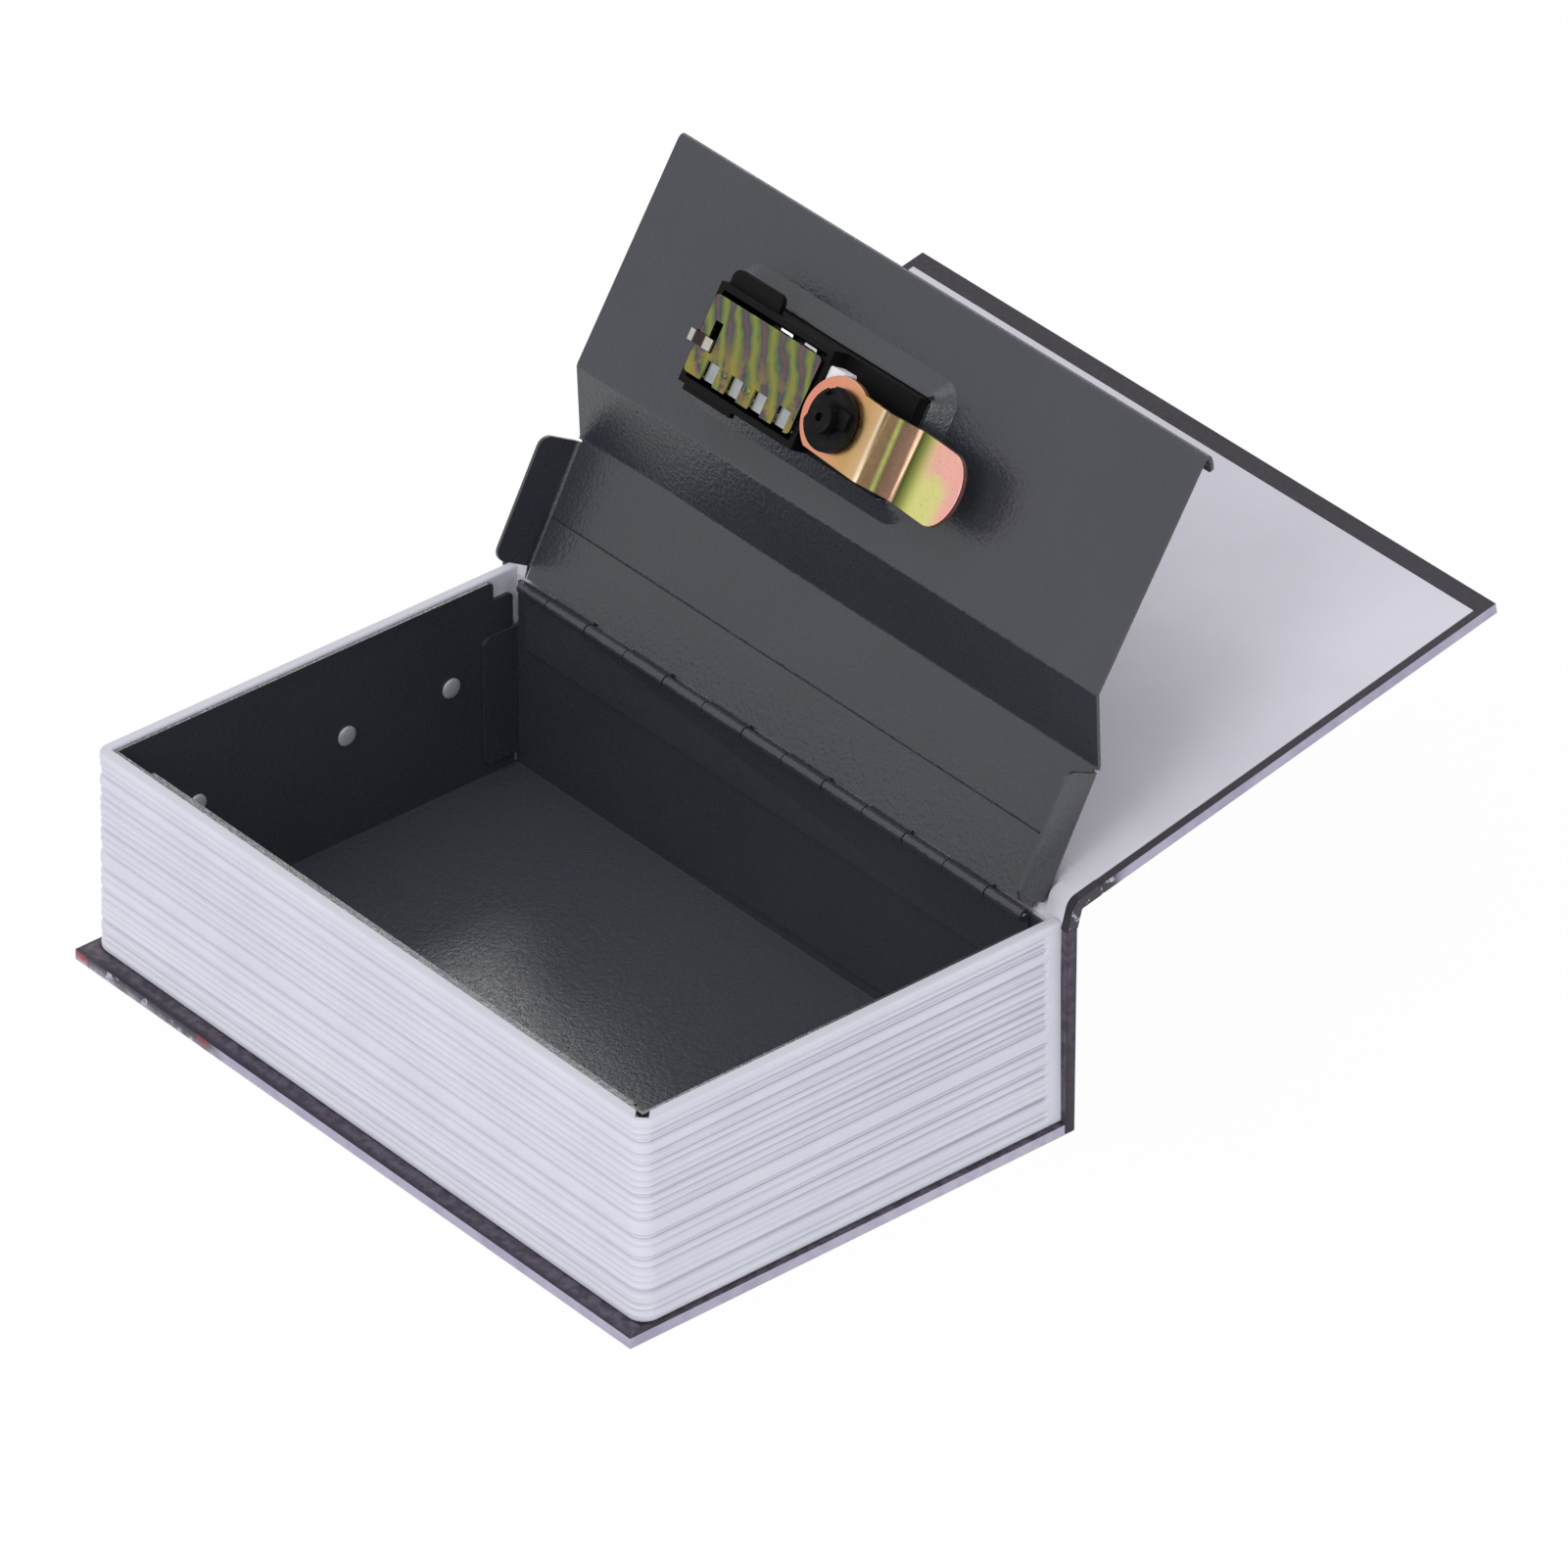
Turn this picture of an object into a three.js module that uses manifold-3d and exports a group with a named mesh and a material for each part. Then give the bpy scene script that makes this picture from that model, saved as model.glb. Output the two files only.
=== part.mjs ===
// Book diversion safe: a hollow book whose plastic page block holds a folded steel tray
// with a piano-hinged lid and a three-dial combination lock.
// Millimetres, +Z up. X runs along the spine, -Y is the fore-edge, and the origin is the
// middle of the back cover's underside. It stands open, as when it is being filled.
import * as THREE from 'three';
import { mergeVertices } from 'three/addons/utils/BufferGeometryUtils.js';
import Module from 'manifold-3d';

const wasm = await Module();
wasm.setup();

// Cover boards, spine and paper
const coverLength = 180;
const coverDepth = 117.4;
const boardThickness = 2.0;
const paperThickness = 0.3;
const foreEdgeSquare = 4.8;
const endSquare = 2.1;
const endpaperForeInset = 4.4;
const endpaperEndInset = 2.0;
const grooveWidth = 7.0;
const spineBelowRim = 1.8;
const frontCoverShort = 1.2;
const coverOverLid = 0.2;
const coverOpenAngle = 168;
const creaseSink = 0.54;
const creaseLean = 1.5;
const creaseBend = 1.9;
const creaseClearance = 0.3;
const creaseSeam = 0.1;

// Page block, moulded as three walls with page lines
const rimHeight = 51.4;
const pageWall = 2.7;
const pageInnerCorner = 0.5;
const pageFootRound = 1.7;
const pageRimRound = 0.9;
const smoothRim = 4.2;
const smoothRearBand = 3.2;
const pageLineCount = 18;
const pageLineDepth = 0.42;
const pageRearGap = 0.1;
const cornerReliefWidth = 3.2;
const cornerReliefDepth = 1.6;

// Steel tray
const sheet = 0.8;
const trayFit = 0.15;
const trayTopBelowRim = 0.5;
const sideWallRearGap = 0.65;
const rearNotchLength = 5.2;
const rearNotchDepth = 4.6;
const notchRound = 1.4;
const hemHeight = 8;
const hemLeftStart = 11;
const hemRightStart = 3;
const rearTabLength = 10.2;
const rearTabBelowRim = 13.2;
const rearWallGap = 0.45;
const rearTabRound = 2.2;
const cornerHole = 3.2;

// Rivets that hold the tray to the page block
const rivetHeight = 29.4;
const rivetFromSpine = [21.5, 49.5, 89.1];
const rivetHead = 2.35;
const rivetHeadRise = 0.75;
const rivetShank = 1.2;
const rivetShankReach = 1.7;

// Piano hinge
const knuckleRadius = 1.4;
const pinRadius = 0.6;
const pinClearance = 0.2;
const leafThickness = 0.6;
const leafWidth = 16;
const hingeEndGap = 4;
const knuckleGap = 0.3;
const firstKnuckle = 9.5;
const innerKnuckles = 11;
const lastKnuckle = 11.3;
const hingeOffset = -0.35;
const leafRelief = 1.9;
const hingeBelowRim = 1.6;
const lidOpenAngle = 122.1;

// Lid
const lidSideClearance = 1.95;
const panelSideStep = 0.45;
const glueGap = 0.05;
const lidEdgeStart = 1.8;
const stripLength = 34.3;
const stepRun = 14.6;
const stepDrop = 12.4;
const lidFrontClearance = 0.35;
const lipLength = 4.2;
const sheetBend = 1.2;
const stripTilt = 4;
const flangeDepth = 10.7;
const flangeSplay = 6;
const flangeStart = 4.3;
const flangeRound = 3.6;
const stripCornerCut = 5.5;

// Pressed pocket in the lid and the opening for the lock
const spindleFromFront = 31.3;
const spindleOffset = 0.8;
const pocketLeft = 51;
const pocketRight = 17.5;
const pocketHalfWidth = 16.3;
const pocketDepth = 3.3;
const pocketSlope = 3.0;
const pocketCorner = 4;
const openingLeft = 45;
const openingRight = 13;
const openingHalfWidth = 11.4;
const lockFit = 0.15;

// Combination lock
const bezelProud = 0.3;
const housingWall = 1.5;
const housingRise = 11.2;
const housingBaseRise = 6.5;
const bossRadius = 6.7;
const earLength = 15.5;
const earReach = 3.6;
const earRise = 8.0;
const earThickness = 1.5;
const dialRadius = 7.2;
const dialWidth = 5.8;
const dialPitch = 7.5;
const dialFirst = 32;
const dialCount = 3;
const dialFlats = 10;
const dialGroove = 0.5;
const dialSink = 3.6;
const axleRadius = 1.1;
const dialWindowFit = 0.35;
const plateLeft = 43.9;
const plateRight = 10.6;
const plateHalfWidth = 8.75;
const plateThickness = 0.8;
const plateNotchStart = 38.6;
const plateNotch = 3.8;
const plateNotchDepth = 4.4;
const combTabSlit = 1.4;
const combTabWidth = 2.3;
const combTabReach = 2.8;
const slideStart = 9;
const slideEnd = 4.6;
const slideInset = 3.1;
const slideReach = 5.6;
const leverTravel = 3.6;
const leverWidth = 2.6;
const leverOffset = 1.4;
const leverSheet = 0.6;
const leverReach = 38.9;
const slotFit = 0.2;

// Turn knob, cam and cap
const spindleRadius = 3.1;
const spindleSquare = 4.4;
const camThickness = 1.4;
const camHalfWidth = 8.1;
const camHubRadius = 9.3;
const camReach = 34.6;
const camJoggleStart = 11.6;
const camJoggleRun = 7.2;
const camJoggleDrop = 4.4;
const camTipDepth = 5.4;
const camRestTilt = 3;
const camGap = 0.4;
const camSlotFit = 2.6;
const capRadius = 6.9;
const capFlange = 1.6;
const capHubRadius = 3.3;
const capHubRise = 3.2;
const knobRadius = 8.5;
const knobDisc = 2.4;
const gripHeight = 5.4;
const gripWidth = 4.2;

// Places that follow from the sizes above
const coverThickness = boardThickness + 2 * paperThickness;
const halfLength = coverLength / 2;
const spineFace = coverDepth / 2;
const spineInner = spineFace - coverThickness;
const foreEdge = -coverDepth / 2;
const spineHeight = rimHeight - spineBelowRim;
const pageOuterX = halfLength - endSquare;
const pageOuterY = foreEdge + foreEdgeSquare;
const pageInnerX = pageOuterX - pageWall;
const pageInnerY = pageOuterY + pageWall;
const pageRear = spineInner - pageRearGap;
const trayOuterX = pageInnerX - trayFit;
const trayInnerX = trayOuterX - sheet;
const trayFront = pageInnerY + trayFit;
const trayFloorTop = coverThickness + sheet;
const trayTop = rimHeight - trayTopBelowRim;
const hemFace = trayFront + 2 * sheet;
const rearTabTop = rimHeight - rearTabBelowRim;
const rearWallBack = spineInner - rearWallGap;
const rearWallFace = rearWallBack - sheet;
const hingeY = rearWallFace - knuckleRadius;
const hingeZ = rimHeight - hingeBelowRim;
const hingeLength = 2 * (trayInnerX - hingeEndGap);
const knucklePitch = (hingeLength - firstKnuckle - lastKnuckle) / innerKnuckles;
const hingeLeft = hingeOffset - hingeLength / 2;
const rearWallTop = hingeZ - 0.5;
const stripInner = knuckleRadius;
const stripMid = stripInner + sheet / 2;
const panelInner = stripInner - stepDrop;
const panelOuter = panelInner + sheet;
const panelMid = panelInner + sheet / 2;
const lidReach = Math.sqrt((hingeY - hemFace - lidFrontClearance) ** 2 - panelInner ** 2);
const lidHalf = trayInnerX - lidSideClearance;
const spindleY = spindleFromFront - lidReach;
const lockY = spindleY - spindleOffset;
const closedHeight = hingeZ + stripInner + sheet + coverOverLid + coverThickness;
const pocketFloorInner = panelInner - pocketDepth;
const pocketFloorOuter = pocketFloorInner + sheet;
const housingTop = pocketFloorOuter - lockFit;
const housingBack = panelInner - housingRise;
const plateFace = housingBack - lockFit;
const dialAxisZ = panelInner - dialSink;
const camFace = housingBack - camGap;
const camBack = camFace - camThickness;

// Turns a geometry into a manifold solid and back again
function solid(geometry) {
  const plain = geometry.index ? geometry.toNonIndexed() : geometry.clone();
  plain.deleteAttribute('normal');
  plain.deleteAttribute('uv');
  const merged = mergeVertices(plain, 1e-5);
  return new wasm.Manifold(new wasm.Mesh({
    numProp: 3,
    vertProperties: new Float32Array(merged.attributes.position.array),
    triVerts: new Uint32Array(merged.index.array),
  }));
}

function geometryOf(manifold) {
  const mesh = manifold.getMesh();
  const geometry = new THREE.BufferGeometry();
  geometry.setAttribute('position', new THREE.BufferAttribute(mesh.vertProperties, 3));
  geometry.setIndex(new THREE.BufferAttribute(mesh.triVerts, 1));
  geometry.computeVertexNormals();
  return geometry;
}

function join(first, ...others) {
  return others.reduce((sum, other) => sum.add(other), first);
}

function cut(first, ...others) {
  return others.reduce((rest, other) => rest.subtract(other), first);
}

// A block between two corners
function block(x0, x1, y0, y1, z0, z1) {
  const box = new THREE.BoxGeometry(1, 1, 1);
  const corner = box.attributes.position;
  for (let i = 0; i < corner.count; i += 1) {
    corner.setXYZ(
      i,
      corner.getX(i) < 0 ? x0 : x1,
      corner.getY(i) < 0 ? y0 : y1,
      corner.getZ(i) < 0 ? z0 : z1,
    );
  }
  return solid(box);
}

// A round bar or bore along one axis, between two values on it
function rod(axis, radius, from, to, a, b, sides = 24) {
  const bar = new THREE.CylinderGeometry(radius, radius, to - from, sides);
  const middle = (from + to) / 2;
  if (axis === 'x') {
    bar.rotateZ(-Math.PI / 2);
    bar.translate(middle, a, b);
  } else if (axis === 'y') {
    bar.translate(a, middle, b);
  } else {
    bar.rotateX(Math.PI / 2);
    bar.translate(a, b, middle);
  }
  return solid(bar);
}

// A shape drawn in the YZ plane, as wide as x0 to x1
function alongX(shape, x0, x1) {
  const body = new THREE.ExtrudeGeometry(shape, { depth: x1 - x0, bevelEnabled: false, curveSegments: 6 });
  body.applyMatrix4(new THREE.Matrix4().makeBasis(
    new THREE.Vector3(0, 1, 0),
    new THREE.Vector3(0, 0, 1),
    new THREE.Vector3(1, 0, 0),
  ));
  body.translate(x0, 0, 0);
  return solid(body);
}

// A shape drawn in the XZ plane, as deep as y0 to y1
function alongY(shape, y0, y1) {
  const body = new THREE.ExtrudeGeometry(shape, { depth: y1 - y0, bevelEnabled: false, curveSegments: 6 });
  body.applyMatrix4(new THREE.Matrix4().makeBasis(
    new THREE.Vector3(1, 0, 0),
    new THREE.Vector3(0, 0, 1),
    new THREE.Vector3(0, -1, 0),
  ));
  body.translate(0, y1, 0);
  return solid(body);
}

// A shape drawn in the XY plane, from z0 to z1
function alongZ(shape, z0, z1) {
  const body = new THREE.ExtrudeGeometry(shape, { depth: z1 - z0, bevelEnabled: false, curveSegments: 8 });
  body.translate(0, 0, z0);
  return solid(body);
}

// A straight-sided outline whose corners are rounded where a third value gives a radius
function roundedShape(corners) {
  const shape = new THREE.Shape();
  corners.forEach(([x, y, radius = 0], i) => {
    const corner = new THREE.Vector2(x, y);
    const before = new THREE.Vector2(...corners[(i + corners.length - 1) % corners.length]);
    const after = new THREE.Vector2(...corners[(i + 1) % corners.length]);
    const from = before.sub(corner).setLength(radius).add(corner);
    const to = after.sub(corner).setLength(radius).add(corner);
    if (i === 0) {
      shape.moveTo(from.x, from.y);
    } else {
      shape.lineTo(from.x, from.y);
    }
    if (radius > 0) {
      shape.quadraticCurveTo(corner.x, corner.y, to.x, to.y);
    }
  });
  shape.closePath();
  return shape;
}

function rectangle(x0, x1, y0, y1, radius) {
  return roundedShape([[x0, y0, radius], [x1, y0, radius], [x1, y1, radius], [x0, y1, radius]]);
}

// The middle line of a folded sheet, with an arc of the given radius at each inner point
function foldedLine(points, radii, steps = 4) {
  const line = [points[0].clone()];
  for (let i = 1; i < points.length - 1; i += 1) {
    const incoming = points[i].clone().sub(points[i - 1]).normalize();
    const outgoing = points[i + 1].clone().sub(points[i]).normalize();
    const turn = Math.atan2(incoming.cross(outgoing), incoming.dot(outgoing));
    const setback = radii[i - 1] * Math.tan(Math.abs(turn) / 2);
    const start = points[i].clone().addScaledVector(incoming, -setback);
    const side = Math.sign(turn);
    const toCentre = new THREE.Vector2(-incoming.y, incoming.x).multiplyScalar(side * radii[i - 1]);
    const centre = start.clone().add(toCentre);
    for (let k = 0; k <= steps; k += 1) {
      line.push(start.clone().rotateAround(centre, (turn * k) / steps));
    }
  }
  line.push(points[points.length - 1].clone());
  return line;
}

// The outline of a sheet of one thickness that follows a middle line
function sheetShape(line, thickness) {
  const sides = [[], []];
  line.forEach((point, i) => {
    const before = line[Math.max(i - 1, 0)];
    const after = line[Math.min(i + 1, line.length - 1)];
    const incoming = point.clone().sub(before).normalize();
    const outgoing = after.clone().sub(point).normalize();
    const along = incoming.clone().add(outgoing).normalize();
    const spread = Math.max(along.dot(i > 0 ? incoming : outgoing), 0.5);
    const normal = new THREE.Vector2(-along.y, along.x).multiplyScalar(thickness / 2 / spread);
    sides[0].push(point.clone().add(normal));
    sides[1].unshift(point.clone().sub(normal));
  });
  return new THREE.Shape([...sides[0], ...sides[1]]);
}

// A block that narrows from one outline to another, both with the same number of points
function taper(lower, upper, z0, z1) {
  const count = lower.length;
  const positions = [];
  lower.forEach((point) => positions.push(point.x, point.y, z0));
  upper.forEach((point) => positions.push(point.x, point.y, z1));
  const faces = [];
  for (let i = 0; i < count; i += 1) {
    const next = (i + 1) % count;
    faces.push(i, next, count + next, i, count + next, count + i);
  }
  THREE.ShapeUtils.triangulateShape(lower, []).forEach(([a, b, c]) => {
    faces.push(c, b, a);
  });
  THREE.ShapeUtils.triangulateShape(upper, []).forEach(([a, b, c]) => {
    faces.push(count + a, count + b, count + c);
  });
  const body = new THREE.BufferGeometry();
  body.setAttribute('position', new THREE.Float32BufferAttribute(positions, 3));
  body.setIndex(faces);
  return solid(body);
}

// Finishes
function finish(color, roughness, metalness) {
  return new THREE.MeshStandardMaterial({ color, roughness, metalness, flatShading: true });
}

const finishes = {
  board: () => finish('#8d8577', 0.95, 0),
  wrap: () => finish('#3d3640', 0.6, 0),
  endpaper: () => finish('#c6c3cb', 0.85, 0),
  pages: () => finish('#dcdce6', 0.55, 0),
  powderCoat: () => finish('#43474b', 0.55, 0.1),
  aluminium: () => finish('#a9a9af', 0.4, 1),
  steel: () => finish('#7c7f83', 0.4, 1),
  zincYellow: () => finish('#c7a45c', 0.35, 1),
  blackPlastic: () => finish('#17171a', 0.5, 0),
  whitePlastic: () => finish('#e8e8ea', 0.5, 0),
};

const safe = new THREE.Group();
safe.name = 'book_diversion_safe';

function piece(name, manifold, material, parent = safe) {
  const mesh = new THREE.Mesh(geometryOf(manifold), material);
  mesh.name = name;
  parent.add(mesh);
  return mesh;
}

// Back cover: greyboard, printed wrap folded round its edges, and endpaper
function backCover() {
  const paper = paperThickness;
  const boardTop = paper + boardThickness;
  const boardX = halfLength - paper;
  const windowX = halfLength - endpaperEndInset;
  const windowY = foreEdge + endpaperForeInset;
  const board = block(-boardX, boardX, foreEdge + paper, spineInner + paper, paper, boardTop);
  piece('back_board', board, finishes.board());
  const wrap = join(
    block(-halfLength, halfLength, foreEdge, spineFace, 0, paper),
    cut(
      block(-halfLength, halfLength, foreEdge, spineInner, paper / 2, coverThickness),
      block(-boardX, boardX, foreEdge + paper, spineFace, paper, boardTop),
      block(-windowX, windowX, windowY, spineFace, boardTop, closedHeight),
    ),
  );
  piece('back_wrap', wrap, finishes.wrap());
  const endpaper = block(-windowX, windowX, windowY, spineInner, boardTop, coverThickness);
  piece('back_endpaper', endpaper, finishes.endpaper());
}

// Spine: greyboard, wrap and liner, up to where the crease starts
function spine() {
  const paper = paperThickness;
  const boardX = halfLength - paper;
  const windowX = halfLength - endpaperEndInset;
  const linerBack = spineInner + paper;
  const boardTop = spineHeight - paper;
  const board = block(-boardX, boardX, linerBack, spineFace - paper, paper, boardTop);
  piece('spine_board', board, finishes.board());
  const wrap = cut(
    block(-halfLength, halfLength, spineInner, spineFace, paper, spineHeight),
    block(-boardX, boardX, linerBack, spineFace - paper, -1, boardTop),
    block(-boardX, boardX, foreEdge, linerBack, -1, paper + boardThickness),
    block(-windowX, windowX, foreEdge, linerBack, -1, closedHeight),
  );
  piece('spine_wrap', wrap, finishes.wrap());
  const liner = block(-windowX, windowX, spineInner, linerBack, paper + boardThickness, spineHeight);
  piece('spine_liner', liner, finishes.endpaper());
}

// Front cover, drawn closed with its hinge line at the group's origin, then swung open
const coverHinge = new THREE.Vector2(spineFace, closedHeight - creaseSink);

function frontCover() {
  const cover = new THREE.Group();
  cover.position.set(0, coverHinge.x, coverHinge.y);
  cover.rotation.x = THREE.MathUtils.degToRad(-coverOpenAngle);
  safe.add(cover);
  const paper = paperThickness;
  const boardX = halfLength - paper;
  const windowX = halfLength - endpaperEndInset;
  const edge = frontCoverShort - coverDepth;
  const windowY = edge + endpaperForeInset;
  const start = -grooveWidth;
  const outer = creaseSink;
  const inner = outer - coverThickness;
  const board = block(
    -boardX + glueGap, boardX - glueGap,
    edge + paper + glueGap, start,
    inner + paper + glueGap, outer - paper - glueGap,
  );
  piece('front_board', board, finishes.board(), cover);
  const wrap = cut(
    block(-halfLength, halfLength, edge, start, inner, outer),
    block(-boardX, boardX, edge + paper, 0, inner + paper, outer - paper),
    block(-windowX, windowX, windowY, 0, -closedHeight, inner + paper),
  );
  piece('front_wrap', wrap, finishes.wrap(), cover);
  const endpaper = block(
    -windowX + glueGap, windowX - glueGap,
    windowY + glueGap, start,
    inner, inner + paper,
  );
  piece('front_endpaper', endpaper, finishes.endpaper(), cover);
}

// The crease is the flexible fold between spine and front board. It is thinner where the open
// lid leans on it.
function coverCrease() {
  const flat = THREE.MathUtils.degToRad(180 - coverOpenAngle);
  const along = new THREE.Vector2(Math.cos(flat), Math.sin(flat));
  const up = new THREE.Vector2(-Math.sin(flat), Math.cos(flat));
  const middleY = spineFace - coverThickness / 2;
  const middle = coverHinge.clone().addScaledVector(up, coverThickness / 2 - creaseSink);
  const cornerY = middleY + creaseLean;
  const corner = middle.clone().addScaledVector(along, (cornerY - middle.x) / along.x);
  const end = middle.clone().addScaledVector(along, grooveWidth - 0.3);
  const start = new THREE.Vector2(middleY, spineHeight);
  start.add(start.clone().sub(corner).setLength(1));
  const line = foldedLine([start, corner, end], [creaseBend], 8);
  const fold = alongX(sheetShape(line, coverThickness), -halfLength, halfLength);
  const lidSpace = block(
    -lidHalf - creaseClearance, lidHalf + creaseClearance,
    -stripLength, 0,
    panelInner, stripInner + sheet + creaseClearance,
  );
  const openLid = lidSpace.rotate([-lidOpenAngle, 0, 0]).translate([0, hingeY, hingeZ]);
  const spineSpace = block(-coverLength, coverLength, 0, coverDepth, 0, spineHeight + creaseSeam);
  piece('cover_crease', cut(fold, openLid, spineSpace), finishes.wrap());
}

// Page block: three walls swept round the tray, with uneven page lines outside
function pageProfile(lines) {
  const height = rimHeight - coverThickness;
  const profile = [new THREE.Vector2(0, 0)];
  const arc = (centreX, centreY, radius, from, to, steps) => {
    for (let k = 0; k <= steps; k += 1) {
      const angle = from + ((to - from) * k) / steps;
      profile.push(new THREE.Vector2(centreX + radius * Math.cos(angle), centreY + radius * Math.sin(angle)));
    }
  };
  arc(pageWall - pageFootRound, pageFootRound, pageFootRound, -Math.PI / 2, 0, 4);
  const weights = [];
  for (let i = 0; i < pageLineCount; i += 1) {
    weights.push(1 + 0.3 * Math.sin(2.3 * i + 0.5) + 0.14 * Math.sin(5.1 * i));
  }
  const total = weights.reduce((sum, weight) => sum + weight, 0);
  const span = height - smoothRim - pageFootRound;
  let level = pageFootRound;
  weights.forEach((weight, i) => {
    const pitch = (span * weight) / total;
    const depth = lines * pageLineDepth * (1 + 0.35 * Math.sin(1.7 * i));
    for (let k = 1; k <= 4; k += 1) {
      const share = k / 4;
      const sink = depth * (0.5 - 0.5 * Math.cos(2 * Math.PI * share));
      profile.push(new THREE.Vector2(pageWall - sink, level + pitch * share));
    }
    level += pitch;
  });
  arc(pageWall - pageRimRound, height - pageRimRound, pageRimRound, 0, Math.PI / 2, 3);
  arc(pageRimRound / 2, height - pageRimRound / 2, pageRimRound / 2, Math.PI / 2, Math.PI, 2);
  return profile;
}

function pageStations() {
  const cornerX = pageInnerX - pageInnerCorner;
  const cornerY = pageInnerY + pageInnerCorner;
  const half = [
    { x: pageInnerX, y: pageRear, angle: 0, lines: 0 },
    { x: pageInnerX, y: pageRear - smoothRearBand, angle: 0, lines: 0 },
    { x: pageInnerX, y: pageRear - smoothRearBand - 0.8, angle: 0, lines: 1 },
  ];
  for (let k = 0; k <= 6; k += 1) {
    const angle = (-Math.PI / 2) * (k / 6);
    half.push({
      x: cornerX + pageInnerCorner * Math.cos(angle),
      y: cornerY + pageInnerCorner * Math.sin(angle),
      angle,
      lines: 1,
    });
  }
  const mirrored = half.map((s) => ({ ...s, x: -s.x, angle: -Math.PI - s.angle })).reverse();
  return [...half, ...mirrored];
}

function pageBlock() {
  const stations = pageStations();
  const rings = stations.map((station) => pageProfile(station.lines).map((point) => new THREE.Vector3(
    station.x + point.x * Math.cos(station.angle),
    station.y + point.x * Math.sin(station.angle),
    coverThickness + point.y,
  )));
  const count = rings[0].length;
  const positions = rings.flat().flatMap((point) => [point.x, point.y, point.z]);
  const faces = [];
  for (let j = 0; j < rings.length - 1; j += 1) {
    for (let i = 0; i < count; i += 1) {
      const a = j * count + i;
      const b = j * count + ((i + 1) % count);
      faces.push(a, b, a + count, b, b + count, a + count);
    }
  }
  const last = (rings.length - 1) * count;
  THREE.ShapeUtils.triangulateShape(pageProfile(0), []).forEach(([a, b, c]) => {
    faces.push(c, b, a);
    faces.push(last + a, last + b, last + c);
  });
  const body = new THREE.BufferGeometry();
  body.setAttribute('position', new THREE.Float32BufferAttribute(positions, 3));
  body.setIndex(faces);
  const cuts = rivetPlaces().map(({ side, y }) => {
    const outer = trayOuterX + rivetShankReach + 0.4;
    const bore = rod('x', rivetShank + 0.2, pageInnerX - 1, outer, y, rivetHeight, 12);
    return side > 0 ? bore : bore.mirror([1, 0, 0]);
  });
  const half = cornerReliefWidth / 2;
  const relief = block(-half, half, -cornerReliefDepth, half, rimHeight - 3, rimHeight + 1);
  cuts.push(relief.rotate([0, 0, 45]).translate([pageInnerX, pageInnerY, 0]));
  cuts.push(camRecess());
  piece('page_block', cut(solid(body), ...cuts), finishes.pages());
}

// Room for the cam's tip, through the tray's front wall and into the page block
function camSlotBox() {
  const tipTop = hingeZ + camBack + camJoggleDrop + camThickness;
  const tipBottom = hingeZ + camBack + camJoggleDrop;
  return {
    halfWidth: camHalfWidth + camSlotFit,
    low: tipBottom - camSlotFit,
    high: tipTop + camSlotFit,
    reach: hingeY + spindleY - camReach - 0.45,
  };
}

function camRecess() {
  const slot = camSlotBox();
  return block(-slot.halfWidth, slot.halfWidth, slot.reach, trayFront + 2, slot.low, slot.high);
}

// Steel tray: floor, side walls, hemmed front wall with the cam slot, and tabbed rear wall
function steelTray() {
  const floor = block(-trayOuterX, trayOuterX, trayFront, rearWallBack, coverThickness, trayFloorTop);
  const sideRear = rearWallFace - sideWallRearGap;
  const sideShape = roundedShape([
    [trayFront, coverThickness],
    [sideRear, coverThickness],
    [sideRear, trayTop - rearNotchDepth, notchRound],
    [sideRear - rearNotchLength, trayTop - rearNotchDepth, 0.3],
    [sideRear - rearNotchLength, trayTop, notchRound],
    [trayFront, trayTop],
  ]);
  const rightWall = alongX(sideShape, trayInnerX, trayOuterX);
  const leftWall = alongX(sideShape, -trayOuterX, -trayInnerX);
  const front = block(-trayOuterX, trayOuterX, trayFront, trayFront + sheet, coverThickness, trayTop);
  const hem = block(
    -trayInnerX + hemLeftStart, trayInnerX - hemRightStart,
    trayFront + sheet / 2, hemFace,
    trayTop - hemHeight, trayTop,
  );
  const rearWallX = trayInnerX - glueGap;
  const rearLow = block(-rearWallX, rearWallX, rearWallFace, rearWallBack, coverThickness, rearTabTop);
  const rearHigh = block(
    -rearWallX + sheet, rearWallX - sheet,
    rearWallFace, rearWallBack,
    coverThickness, rearWallTop,
  );
  const tabShape = roundedShape([
    [rearWallBack, trayFloorTop + cornerHole],
    [rearWallBack, rearTabTop],
    [rearWallBack - rearTabLength, rearTabTop, rearTabRound],
    [rearWallBack - rearTabLength, trayFloorTop + cornerHole, rearTabRound],
  ]);
  const rightTab = alongX(tabShape, rearWallX - sheet, rearWallX);
  const leftTab = alongX(tabShape, -rearWallX, -rearWallX + sheet);
  const slot = camSlotBox();
  const holes = [
    block(-slot.halfWidth, slot.halfWidth, foreEdge, hemFace, slot.low, slot.high),
    ...rivetPlaces().map(({ side, y }) => {
      const bore = rod('x', rivetShank + 0.2, trayInnerX - 1, trayOuterX + 1, y, rivetHeight, 12);
      return side > 0 ? bore : bore.mirror([1, 0, 0]);
    }),
  ];
  const walls = join(floor, rightWall, leftWall, front, hem, rearLow, rearHigh, rightTab, leftTab);
  piece('steel_tray', cut(walls, ...holes), finishes.powderCoat());
}

// Rivets: three in each side wall, domed inside, with shanks in the page block
function rivetPlaces() {
  return [-1, 1].flatMap((side) => rivetFromSpine.map((distance, i) => ({
    side,
    y: spineFace - distance,
    name: `rivet_${side < 0 ? 'left' : 'right'}_${i + 1}`,
  })));
}

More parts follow.
